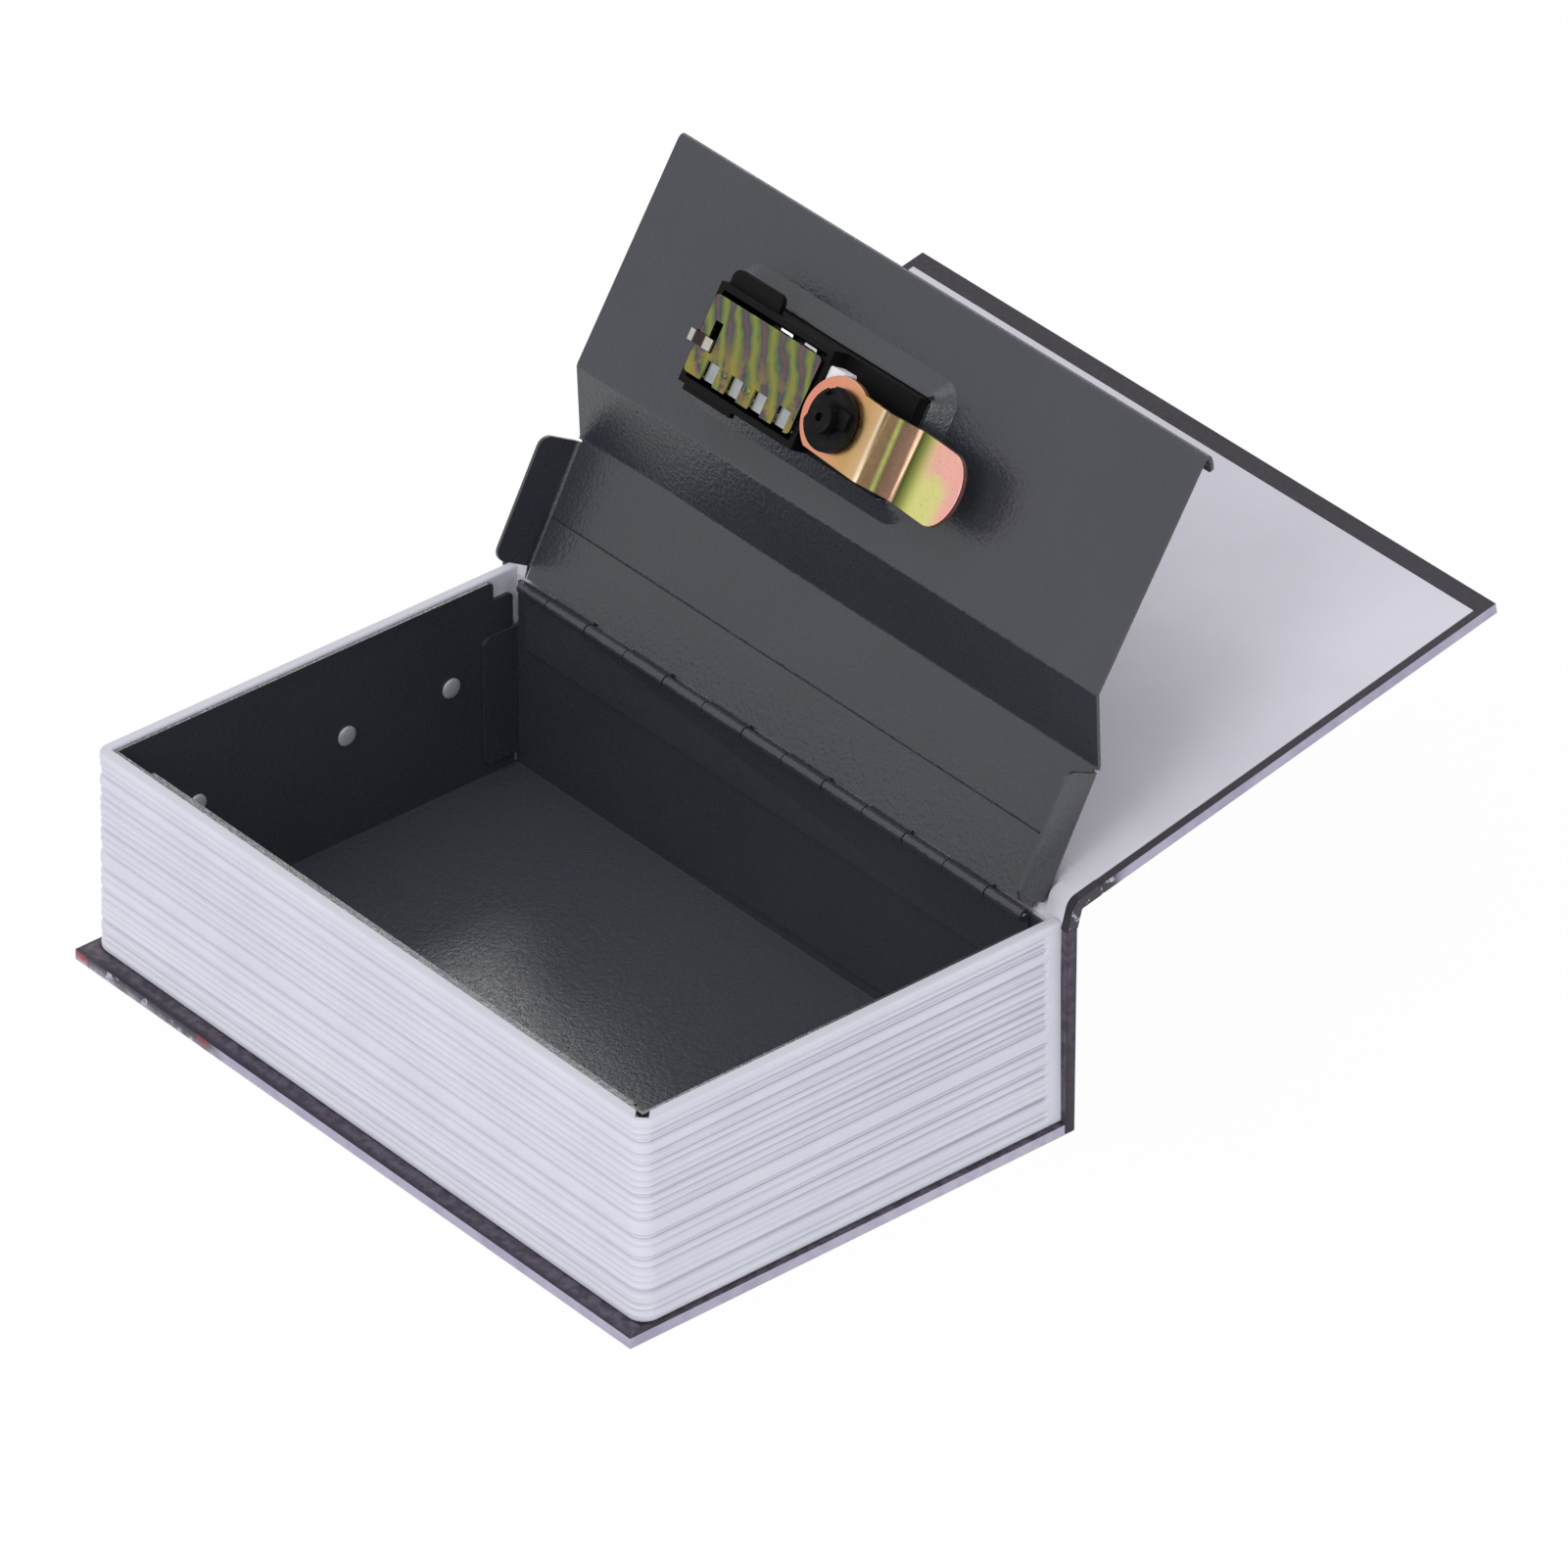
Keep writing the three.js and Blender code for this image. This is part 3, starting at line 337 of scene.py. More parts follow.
def makeStudio():
    world = bpy.data.worlds.new("studio")
    bpy.context.scene.world = world
    tree = emptyTree(world)
    fill = addNode(tree, "Background", Color=(*studio["worldTint"], 1), Strength=studio["worldStrength"])
    white = addNode(tree, "Background", Color=(1, 1, 1, 1), Strength=1)
    showMixed(tree, "OutputWorld", rayMask(tree), fill, white)

    for name, values in studio["lights"].items():
        lamp = bpy.data.lights.new(name, "AREA")
        lamp.shape = "DISK"
        lamp.size = values["size"]
        lamp.energy = values["energy"]
        light = bpy.data.objects.new(name, lamp)
        bpy.context.scene.collection.objects.link(light)
        light.location = values["from"]
        light.rotation_euler = (-Vector(values["from"])).to_track_quat("-Z", "Y").to_euler()

    reach, level = studio["floorReach"], studio["floorLevel"]
    floor = addPlane("studioFloor", (-reach, -reach, level), (reach, reach, level))
    material = bpy.data.materials.new("paleFloor")
    tree = emptyTree(material)
    matt = addNode(tree, "BsdfDiffuse", Color=tone(*studio["floorTone"]))
    glow = addNode(tree, "Emission", Strength=1)
    share = times(tree, rayMask(tree), studio["floorGlow"])
    showMixed(tree, "OutputMaterial", share, matt, glow)
    floor.data.materials.append(material)
    bpy.context.scene.view_settings.view_transform = "Standard"


makeCamera()
makeStudio()
print("camera, lights and floor are set")


def noise(tree, vector, scale, detail=2, roughness=0.5):
    texture = addNode(tree, "TexNoise", Vector=vector, Scale=scale, Detail=detail, Roughness=roughness)
    return texture.outputs["Fac"]


def mapRange(tree, value, low, high, toLow=0.0, toHigh=1.0):
    node = addNode(tree, "MapRange", From_Min=low, From_Max=high, To_Min=toLow, To_Max=toHigh)
    node.interpolation_type = "SMOOTHSTEP"
    tree.links.new(value, node.inputs["Value"])
    return node.outputs["Result"]


# The same with the limits in millimetres
def mapPlace(tree, value, limits, toLow=0.0, toHigh=1.0):
    return mapRange(tree, value, limits[0] * mm, limits[1] * mm, toLow, toHigh)


def mixColour(tree, mask, first, second):
    node = addNode(tree, "Mix")
    node.data_type = "RGBA"
    for index, value in ((0, mask), (6, first), (7, second)):
        feed(tree, node.inputs[index], value)
    return node.outputs[2]


def objectPlace(tree, turn=None, centre=(0, 0, 0), scale=(1, 1, 1)):
    place = addNode(tree, "TexCoord").outputs["Object"]
    if turn is None:
        return place
    shift = addNode(tree, "Mapping", Vector=place, Location=[-value * mm for value in centre])
    angles = [math.radians(value) for value in turn]
    mapping = addNode(tree, "Mapping", Vector=shift.outputs["Vector"], Rotation=angles, Scale=scale)
    return mapping.outputs["Vector"]


def coordinate(tree, place, axis):
    return addNode(tree, "SeparateXYZ", Vector=place).outputs[axis]


# Node groups that the finishes share
def newGroup(name, inputs, outputs):
    group = bpy.data.node_groups.new(name, "ShaderNodeTree")
    for label, value in inputs.items():
        socket = group.interface.new_socket(name=label, in_out="INPUT", socket_type="NodeSocketFloat")
        socket.default_value = value
    for label in outputs:
        group.interface.new_socket(name=label, in_out="OUTPUT", socket_type="NodeSocketFloat")
    return group, group.nodes.new("NodeGroupInput"), group.nodes.new("NodeGroupOutput")


grainDrift = {"scale": 38, "detail": 3, "roughness": 0.6, "low": 0.3, "high": 0.7}


# Two sizes of grain added together, for bumps, and a slow drift of the tone
def makeGrainGroup():
    group, start, end = newGroup(
        "surfaceGrain", {"Coarse": 700.0, "Fine": 2500.0, "Fine Share": 0.35}, ("Height", "Drift"),
    )
    values = grainDrift
    place = objectPlace(group)
    coarse = noise(group, place, start.outputs["Coarse"], 2)
    fine = noise(group, place, start.outputs["Fine"], 1)
    fineShare = times(group, fine, start.outputs["Fine Share"])
    feed(group, end.inputs["Height"], mathNode(group, "ADD", coarse, fineShare))
    drift = noise(group, place, values["scale"], values["detail"], values["roughness"])
    feed(group, end.inputs["Drift"], mapRange(group, drift, values["low"], values["high"]))
    return group


edgeWearAndPaintedLight = {
    "scale": 420, "detail": 4, "roughness": 0.65, "low": 0.35, "high": 0.65,
    "paintedShadeStart": 0.49, "paintedShadeFull": 0.4,
}


# Outward edges, with a broken border, for rubbed wear or a painted highlight as the finish asks, and inward
# ones, for painted shade in hollows
def makeWearGroup():
    group, start, end = newGroup(
        "edgeWearAndPaintedLight", {"Start": 0.53, "Full": 0.62, "Breakup": 0.5}, ("Mask", "PaintedShade"),
    )
    values = edgeWearAndPaintedLight
    bend = addNode(group, "NewGeometry").outputs["Pointiness"]
    edge = mapRange(group, bend, start.outputs["Start"], start.outputs["Full"])
    patches = noise(group, objectPlace(group), values["scale"], values["detail"], values["roughness"])
    broken = mapRange(group, patches, values["low"], values["high"])
    lost = times(group, broken, start.outputs["Breakup"])
    keep = mathNode(group, "SUBTRACT", 1, lost)
    feed(group, end.inputs["Mask"], times(group, edge, keep))
    feed(group, end.inputs["PaintedShade"], mapRange(group, bend, values["paintedShadeStart"], values["paintedShadeFull"]))
    return group


grainGroup = makeGrainGroup()
wearAndPaintedLightGroup = makeWearGroup()


def useGroup(tree, group, **values):
    node = addNode(tree, "Group")
    node.node_tree = group
    for key, value in values.items():
        node.inputs[key.replace("_", " ")].default_value = value
    return node


def newMaterial(name):
    material = bpy.data.materials.new(name)
    tree = emptyTree(material)
    shader = addNode(tree, "BsdfPrincipled")
    addNode(tree, "OutputMaterial", Surface=shader.outputs["BSDF"])
    return material, tree, shader


def grainOf(tree, values):
    return useGroup(tree, grainGroup, Coarse=values["coarse"], Fine=values["fine"],
                    Fine_Share=values["fineShare"])


def addWear(tree, colour, values):
    wearAndLight = useGroup(tree, wearAndPaintedLightGroup, Start=values.get("edgeStart", 0.53), Full=values.get("edgeFull", 0.62),
                    Breakup=values.get("edgeBreakup", 0.5))
    colour = mixColour(tree, wearAndLight.outputs["Mask"], colour, tone(*values["edgeTone"]))
    # Painted shade where an edge is hollow
    if "paintedShadeTone" in values:
        colour = mixColour(tree, wearAndLight.outputs["PaintedShade"], colour, tone(*values["paintedShadeTone"]))
    return colour


grainRange = (0.4, 0.9)


def finishSurface(tree, shader, colour, grain, values):
    height = grain.outputs["Height"]
    feed(tree, shader.inputs["Base Color"], colour)
    feed(tree, shader.inputs["Roughness"], mapRange(tree, height, *grainRange, *values["roughness"]))
    feed(tree, shader.inputs["Metallic"], values.get("metallic", 0))
    feed(tree, shader.inputs["Specular IOR Level"], values.get("specular", 0.5))
    bump = addNode(tree, "Bump", Strength=values["bump"], Distance=values["bumpDepth"] * mm, Height=height)
    feed(tree, shader.inputs["Normal"], bump.outputs["Normal"])


# A finish of two near tones with grain and a roughness range. Edge marks come with the values for them:
# rubbed wear on most finishes, a painted highlight on the page lines' crests, and painted shade in their
# hollows and on the tray's rims. So do a layer in Z of painted light and shade and a band in X of painted
# reflection.
def grainedFinish(name, values):
    material, tree, shader = newMaterial(name)
    grain = grainOf(tree, values)
    colour = mixColour(tree, grain.outputs["Drift"], tone(*values["tone"]), tone(*values["toneDrift"]))
    if "edgeTone" in values:
        colour = addWear(tree, colour, values)
    # A layer in Z of painted light and shade: the page block's darker rim top and the tray's lighter floor
    if "paintedShadingLayer" in values:
        limits, shade = values["paintedShadingLayer"]
        height = coordinate(tree, objectPlace(tree), "Z")
        colour = mixColour(tree, mapPlace(tree, height, limits), colour, tone(*shade))
    # A band in X of painted dark reflection, on the clip steel
    if "band" in values:
        starts, ends, shade = values["band"]
        across = coordinate(tree, objectPlace(tree), "X")
        rise, fall = mapPlace(tree, across, starts), mapPlace(tree, across, ends, 1, 0)
        colour = mixColour(tree, times(tree, rise, fall), colour, tone(*shade))
    finishSurface(tree, shader, colour, grain, values)
    return material


steelGrain = {
    "coarse": 1300.0, "fine": 5200.0, "fineShare": 0.6, "metallic": 1, "bump": 0.2, "bumpDepth": 0.03,
}
finishes = {
    "powderCoat": {
        "tone": (58, 60, 67), "toneDrift": (55, 57, 64),
        "edgeTone": (63, 65, 72), "edgeStart": 0.6, "edgeFull": 0.75,
        "coarse": 1050.0, "fine": 2300.0, "fineShare": 0.4, "roughness": (0.17, 0.3),
        "bump": 1.0, "bumpDepth": 0.13, "specular": 0.55,
    },
    # Page plastic: the light edge tone is a painted highlight on the page lines' crests, the dark tone in
    # their hollows is painted shade, and the darker layer at the rim's top is painted shade
    "pagePlastic": {
        "tone": (225, 225, 235), "toneDrift": (220, 220, 231), "edgeTone": (243, 243, 248),
        "paintedShadeTone": (156, 156, 174), "edgeStart": 0.535, "edgeFull": 0.61, "edgeBreakup": 0.2,
        "paintedShadingLayer": ((50.9, 51.3), (208, 208, 218)),
        "coarse": 1500.0, "fine": 4200.0, "fineShare": 0.6, "roughness": (0.5, 0.62),
        "bump": 0.25, "bumpDepth": 0.06,
    },
    "turnInPlum": {
        "tone": (54, 47, 58), "toneDrift": (50, 44, 54), "edgeTone": (96, 89, 102),
        "edgeStart": 0.58, "edgeFull": 0.74, "edgeBreakup": 0.8,
        "coarse": 900.0, "fine": 3600.0, "fineShare": 0.5, "roughness": (0.5, 0.62),
        "bump": 0.2, "bumpDepth": 0.04, "specular": 0.3,
    },
    "endpaperStock": {
        "tone": (229, 226, 236), "toneDrift": (224, 221, 231),
        "coarse": 700.0, "fine": 3800.0, "fineShare": 0.8, "roughness": (0.75, 0.88),
        "bump": 0.22, "bumpDepth": 0.03, "specular": 0.3,
    },
    "greyboardCore": {
        "tone": (141, 133, 119), "toneDrift": (126, 119, 107),
        "coarse": 500.0, "fine": 2400.0, "fineShare": 0.9, "roughness": (0.85, 0.97),
        "bump": 0.5, "bumpDepth": 0.08, "specular": 0.2,
    },
    "rivetAluminium": {
        "tone": (196, 196, 203), "toneDrift": (184, 184, 192), "edgeTone": (218, 218, 224),
        "coarse": 1600.0, "fine": 5200.0, "fineShare": 0.6, "roughness": (0.3, 0.46), "metallic": 0.3,
        "bump": 0.2, "bumpDepth": 0.04,
    },
    "springSteel": {
        **steelGrain, "tone": (150, 152, 156), "toneDrift": (128, 131, 135), "edgeTone": (190, 192, 196),
        "roughness": (0.25, 0.4),
    },
    # The clip's dark band across X is a painted reflection
    "clipSteel": {
        **steelGrain, "tone": (176, 172, 166), "toneDrift": (160, 157, 152), "edgeTone": (206, 204, 200),
        "roughness": (0.2, 0.3), "band": ((-44.6, -44.0), (-41.4, -40.8), (58, 52, 48)),
    },
    "blackPlastic": {
        "tone": (11, 11, 12), "toneDrift": (9, 9, 10), "edgeTone": (25, 25, 28),
        "coarse": 1400.0, "fine": 4600.0, "fineShare": 0.6, "roughness": (0.42, 0.56),
        "bump": 0.3, "bumpDepth": 0.05, "specular": 0.11,
    },
    "whitePlastic": {
        "tone": (246, 246, 248), "toneDrift": (240, 240, 243),
        "coarse": 1400.0, "fine": 4600.0, "fineShare": 0.6, "roughness": (0.4, 0.52),
        "bump": 0.2, "bumpDepth": 0.03,
    },
    "digitPaint": {
        "tone": (238, 238, 236), "toneDrift": (226, 226, 224),
        "coarse": 2200.0, "fine": 6200.0, "fineShare": 0.6, "roughness": (0.45, 0.6),
        "bump": 0.15, "bumpDepth": 0.02,
    },
}
# The tray's floor is painted a shade lighter than its walls, as painted light on the floor
finishes["trayPaint"] = {
    # Its edge tone, darker than the paint, is painted shade on the tray's rims
    **finishes["powderCoat"], "edgeTone": (46, 48, 54), "paintedShadingLayer": ((3.7, 3.45), (73, 75, 83)),
}
finish = {name: grainedFinish(name, values) for name, values in finishes.items()}

# Printed outer paper: a mottled ground and a dark band with small specks, and red blots if asked
coverPrint = {
    "ground": (184, 177, 199), "shade": (166, 159, 183), "dark": (54, 48, 59), "speck": (186, 184, 198),
    "accent": (142, 40, 48), "mottleScale": 160, "mottle": (0.35, 0.68), "darkFrom": -34, "darkTo": -40,
    "swayScale": 26, "sway": 50, "speckScale": 430.0, "specks": (0.58, 0.62), "blotScale": 60,
    "blots": (0.56, 0.59), "edgeTone": (200, 194, 210), "edgeStart": 0.62, "edgeFull": 0.8,
    "edgeBreakup": 0.7, "coarse": 900.0, "fine": 3600.0, "fineShare": 0.5, "roughness": (0.42, 0.55),
    "bump": 0.2, "bumpDepth": 0.04,
}


def printedFinish(name, turn=(0, 0, 0), centre=(0, 0, 0), accent=True):
    values = coverPrint
    material, tree, shader = newMaterial(name)
    place = objectPlace(tree, turn, centre)
    mottle = mapRange(tree, noise(tree, place, values["mottleScale"], 5, 0.6), *values["mottle"])
    colour = mixColour(tree, mottle, tone(*values["ground"]), tone(*values["shade"]))
    sway = times(tree, noise(tree, place, values["swayScale"], 4), values["sway"] * mm)
    edge = mathNode(tree, "ADD", coordinate(tree, place, "X"), sway)
    middle = values["sway"] / 2
    band = mapPlace(tree, edge, (values["darkFrom"] + middle, values["darkTo"] + middle))
    colour = mixColour(tree, band, colour, tone(*values["dark"]))
    specks = mapRange(tree, noise(tree, place, values["speckScale"], 3, 0.6), *values["specks"])
    colour = mixColour(tree, times(tree, specks, band), colour, tone(*values["speck"]))
    if accent:
        blots = mapRange(tree, noise(tree, place, values["blotScale"], 2), *values["blots"])
        colour = mixColour(tree, times(tree, blots, band), colour, tone(*values["accent"]))
    finishSurface(tree, shader, addWear(tree, colour, values), grainOf(tree, values), values)
    return material


# Yellow passivated zinc. Both parts share the metal, and each has its own colours.
zinc = {
    "middle": (0, 91, 110), "edgeBreakup": 0.2, "coarse": 900.0, "fine": 5200.0, "fineShare": 0.4,
    "roughness": (0.26, 0.36), "metallic": 1, "bump": 0.15, "bumpDepth": 0.03,
}
# A wave texture of scale 1 repeats after this length
waveRepeat = 0.314
plateColours = {
    **zinc, "pitch": 4.7, "slant": 32, "stretch": (1, 0.35, 1), "waviness": 5.2,
    "detail": 2, "detailScale": 1.6,
    "bands": [(0.0, (130, 132, 78)), (0.3, (100, 118, 68)), (0.55, (90, 106, 82)), (0.78, (74, 80, 88)),
              (1.0, (104, 82, 88))],
    "warm": (152, 134, 66), "warmRise": (-4, 6), "warmShare": (0.1, 0.75),
    "cloudScale": 230, "cloud": (0.4, 0.6),
    "edgeTone": (232, 220, 178), "edgeStart": 0.58, "edgeFull": 0.66,
}
camColours = {
    **zinc, "from": -9, "to": 36,
    # Tints along the cam; between 11.3 and 19.4 mm the dark stops are a painted reflection on the joggle, and
    # the stops at 11.3 and 18.8 mm are painted highlights at its bends
    "along": [(-9, (220, 140, 118)), (1, (214, 150, 118)), (7, (196, 158, 104)), (10.6, (206, 172, 128)),
              (11.3, (238, 216, 184)), (12.0, (98, 80, 56)), (14.2, (90, 74, 54)), (14.9, (122, 128, 72)),
              (15.6, (82, 66, 52)), (18.2, (102, 78, 66)), (18.8, (206, 168, 138)), (19.4, (72, 76, 40)),
              (21.6, (140, 146, 76)), (24.5, (202, 202, 122)), (30, (220, 196, 142)), (36, (224, 158, 142))],
    "tip": (21, 26), "tipShare": 0.75, "pink": (240, 166, 168), "lime": (214, 214, 136), "limeAcross": (3, 9),
    "cloudScale": 95, "cloudReach": 12, "farTip": (29, 33.5),
    "speck": (150, 132, 96), "speckScale": 2400, "specks": (0.6, 0.72), "speckShare": 0.6,
    "edgeTone": (240, 226, 196), "edgeStart": 0.54, "edgeFull": 0.62,
}


def rampOf(tree, value, stops):
    ramp = addNode(tree, "ValToRGB", Fac=value)
    while len(ramp.color_ramp.elements) < len(stops):
        ramp.color_ramp.elements.new(0.5)
    for element, (position, shade) in zip(ramp.color_ramp.elements, stops):
        element.position = position
        element.color = tone(*shade)
    return ramp.outputs["Color"]


# Slanting bands, warmer towards the hinge
def makePlateZinc():
    values = plateColours
    material, tree, shader = newMaterial("plateZinc")
    turn = (lidSwing["openAngle"], 0, values["slant"])
    slanted = objectPlace(tree, turn, values["middle"], values["stretch"])
    wave = addNode(tree, "TexWave", Vector=slanted, Scale=waveRepeat / (values["pitch"] * mm),
                   Distortion=values["waviness"], Detail=values["detail"], Detail_Scale=values["detailScale"])
    colour = rampOf(tree, wave.outputs["Fac"], values["bands"])
    flat = objectPlace(tree, (lidSwing["openAngle"], 0, 0), values["middle"])
    rise = mapPlace(tree, coordinate(tree, flat, "Y"), values["warmRise"], *values["warmShare"])
    cloud = mapRange(tree, noise(tree, flat, values["cloudScale"], 3, 0.6), *values["cloud"])
    colour = mixColour(tree, times(tree, rise, cloud), colour, tone(*values["warm"]))
    finishSurface(tree, shader, addWear(tree, colour, values), grainOf(tree, values), values)
    return material


# Colours along the cam, with pink and lime clouds and specks at its tip. On the joggle the dark stops are a
# painted reflection and the bright lines at its bends are painted highlights, over the zinc's tints.
def makeCamZinc():
    values = camColours
    material, tree, shader = newMaterial("camZinc")
    flat = objectPlace(tree, (lidSwing["openAngle"], 0, 0), values["middle"])
    x, y = coordinate(tree, flat, "X"), coordinate(tree, flat, "Y")
    span = values["to"] - values["from"]
    share = mathNode(tree, "SUBTRACT", x, values["from"] * mm)
    share = times(tree, share, 1 / (span * mm))
    colour = rampOf(tree, share, [((at - values["from"]) / span, shade) for at, shade in values["along"]])
    tip = mapPlace(tree, x, values["tip"])
    cloud = noise(tree, flat, values["cloudScale"], 3, 0.6)
    cloud = times(tree, cloud, values["cloudReach"] * mm)
    lime = mapPlace(tree, mathNode(tree, "ADD", y, cloud), values["limeAcross"])
    tint = mixColour(tree, lime, tone(*values["pink"]), tone(*values["lime"]))
    tint = mixColour(tree, mapPlace(tree, x, values["farTip"]), tint, tone(*values["pink"]))
    colour = mixColour(tree, times(tree, tip, values["tipShare"]), colour, tint)
    grit = noise(tree, flat, values["speckScale"], 2, 0.6)
    specks = mapRange(tree, grit, *values["specks"], 0, values["speckShare"])
    colour = mixColour(tree, times(tree, tip, specks), colour, tone(*values["speck"]))
    finishSurface(tree, shader, addWear(tree, colour, values), grainOf(tree, values), values)
    return material


finish["plateZinc"] = makePlateZinc()
finish["camZinc"] = makeCamZinc()
finish["backPrint"] = printedFinish("backPrint", centre=(-6, 0, 0))
finish["frontPrint"] = printedFinish("frontPrint", (168, 0, 90), (31, 101.7, 63.4), accent=False)
print("finishes are made")


# Page block: one profile with uneven page lines, swept round the front and both ends
pageBlock = {
    "innerX": 85.2, "innerY": -51.2, "innerCorner": 0.5, "cornerSteps": 9, "wall": 2.7, "draft": 0.9,
    "rear": 56.0, "foot": 2.6, "rim": 51.4, "footRound": 0.9, "rimRound": 0.9, "innerRound": 0.45,
    "roundSteps": 6, "levelStep": 0.2,
    "grooves": [
        (5.2, 0.44), (6.6, 0.3), (9.9, 0.74), (12.0, 0.2), (13.4, 0.18), (15.3, 0.5), (17.7, 0.8),
        (20.6, 0.36), (22.9, 0.84), (27.3, 0.82), (28.8, 0.5), (30.6, 0.5), (32.8, 0.78), (34.7, 0.62),
        (36.2, 0.34), (38.4, 0.56), (40.6, 0.86), (42.5, 0.62), (45.9, 0.84), (47.3, 0.52), (48.8, 0.28),
    ],
    "grooveReach": 0.72, "grooveSpread": 0.5, "depthScale": 1.6, "sinkLimit": 0.6,
    "rearRim": 0.35, "smoothRear": 3.2, "fadeStep": 0.5, "fadeShares": (0.55, 0.45),
    "reliefWidth": 2.8, "reliefDepth": 1.5, "reliefFloor": 50.3, "reliefNear": 0.3,
    "camRecess": ((-10.6, -52.26, 27.6), (10.6, -50, 34.2)),
}


def grooveSink(level):
    values = pageBlock
    sink = 0
    for at, depth in values["grooves"]:
        distance = abs(level - at) / (values["grooveReach"] + values["grooveSpread"] * depth)
        if distance < 1:
            sink = max(sink, depth * (0.5 + 0.5 * math.cos(math.pi * distance)))
    return sink * values["depthScale"]


def pageLevels():
    values = pageBlock
    foot, rim, steps = values["foot"], values["rim"], values["roundSteps"]
    turns = [k * math.pi / (2 * steps) for k in range(steps + 1)]
    levels = [foot + values["footRound"] * (1 - math.cos(turn)) for turn in turns]
    level = levels[-1]
    while level < rim - values["rimRound"] - values["levelStep"]:
        level += values["levelStep"]
        levels.append(level)
    levels += [rim - values["rimRound"] * (1 - math.sin(turn)) for turn in turns]
    return sorted(set(round(level, 4) for level in levels))


# How far a rounded edge stands back at a depth under its top
def setBack(depth, radius):
    return radius - math.sqrt(max(radius ** 2 - (radius - depth) ** 2, 0)) if depth < radius else 0


# The walls lean out a little towards the foot, as a moulding's draft
def outerAt(level):
    values = pageBlock
    above, below = level - values["foot"], values["rim"] - level
    wall = values["wall"] + values["draft"] * below / (values["rim"] - values["foot"])
    return wall - setBack(above, values["footRound"]) - setBack(below, values["rimRound"])


def makePageProfile():
    values = pageBlock
    levels = pageLevels()
    innerX, foot = values["innerX"], values["foot"]
    middleX, height = innerX + values["wall"] / 2, values["rim"] - foot
    clearSelection()
    bpy.ops.mesh.primitive_grid_add(
        x_subdivisions=1, y_subdivisions=len(levels) - 1, size=1, rotation=(math.radians(90), 0, 0),
        location=(middleX * mm, values["rear"] * mm, (foot + height / 2) * mm),
    )
    block = bpy.context.object
    block.name = "pageBlockMoulding"
    block.scale = (values["wall"] * mm, height * mm, 1)
    applyPlace(block)
    chooseAll(block, "VERT")
    shape = bmesh.from_edit_mesh(block.data)
    for vert in shape.verts:
        level = levels[round((vert.co.z / mm - foot) / height * (len(levels) - 1))]
        outer = vert.co.x / mm > middleX
        reach = outerAt(level) if outer else setBack(values["rim"] - level, values["innerRound"])
        vert.co.x, vert.co.z = (innerX + reach) * mm, level * mm
    bmesh.update_edit_mesh(block.data)
    return block


def makePageBlock():
    values = pageBlock
    block = makePageProfile()
    innerX, innerY = values["innerX"], values["innerY"]

    # Draws the chosen row on, and sinks its page lines on that side by a share of their depth
    def drawFaded(side, drawn, share):
        extrude(0, drawn, 0)
        shape = bmesh.from_edit_mesh(block.data)
        for vert in shape.verts:
            level = vert.co.z / mm
            if vert.select and side * vert.co.x / mm - innerX > outerAt(level) - values["sinkLimit"]:
                vert.co.x -= side * grooveSink(level) * share * mm
        bmesh.update_edit_mesh(block.data)

    cornerX, cornerY = innerX - values["innerCorner"], innerY + values["innerCorner"]
    rearRim, smoothRear, step = values["rearRim"], values["smoothRear"], values["fadeStep"]
    strong, weak = values["fadeShares"]
    side = values["rear"] - smoothRear - 2 * step - cornerY
    extrude(0, -rearRim, 0)
    extrude(0, rearRim - smoothRear, 0)
    drawFaded(1, -step, strong)
    drawFaded(1, -step, weak)
    extrude(0, -side, 0)
    for centreX in (cornerX, -cornerX):
        bpy.ops.mesh.spin(steps=values["cornerSteps"], angle=math.radians(90), axis=(0, 0, 1),
                          center=Vector((centreX, cornerY, 0)) * mm)
        if centreX > 0:
            extrude(-2 * cornerX, 0, 0)
    extrude(0, side, 0)
    drawFaded(-1, step, -weak)
    drawFaded(-1, step, -strong)
    extrude(0, smoothRear - rearRim, 0)
    extrude(0, rearRim, 0)
    closeUp(block, 0.001)

    depth, width, floor = values["reliefDepth"], values["reliefWidth"] / 2, values["reliefFloor"]
    relief = addBlock("cornerRelief", (-width, -depth, floor), (width, width, values["rim"] + 1))
    relief.rotation_euler = (0, 0, math.radians(45))
    relief.location = (innerX * mm, innerY * mm, 0)
    applyPlace(relief)
    combine(block, relief)
    combine(block, addBlock("camRecess", *values["camRecess"]))
    smooth(block, 40)
    dress(block, "book", "page_plastic", finish["pagePlastic"], finish["powderCoat"], stands=("page_block",))
    # The floor of the corner relief gets the dark powder coat
    paintFaces(block, 1, lambda face, place: place.x > innerX - values["reliefNear"]
               and place.y < innerY + values["reliefNear"] and near(place.z, floor, 0.02))


makePageBlock()
print("page block is moulded")


# Folded lid: strip with two flanges, step, panel with a pressed pocket, and a folded front lip
lidSheet = {
    "halfWidth": 81.9, "sheet": 0.8, "foldRoom": 1.1, "stripStart": 1.8, "stripLength": 34.3,
    "stripHeight": 1.8, "stripTilt": 4, "cornerCut": 5.5, "flangeStart": 4.3, "flangeEnd": 33.6,
    "flangeGap": 0.6, "flangeDepth": 10.3, "flangeSplay": 6, "flangeFold": 1.07, "flangeRound": 2.6,
    "stepEnd": (-48.9, -10.6), "front": (-103.255, -10.6), "lipEnd": (-99.085, -6.43), "lipRound": 2.2,
    "bends": (0.5, 0.45, 2.6), "panelInset": 6,
    "pocketX": (-51, 17.5), "pocketY": (-87.758, -55.158), "pocketCorner": 6,
    "pocketSteps": ((0.12, 0.02), (0.2, 0.12), (4.1, 2.96), (0.25, 0.15), (0.23, 0.05)),
    "openingShrink": 58 / 58.7, "openingShift": 0.75, "softWidth": 0.14, "softAngle": 55,
}


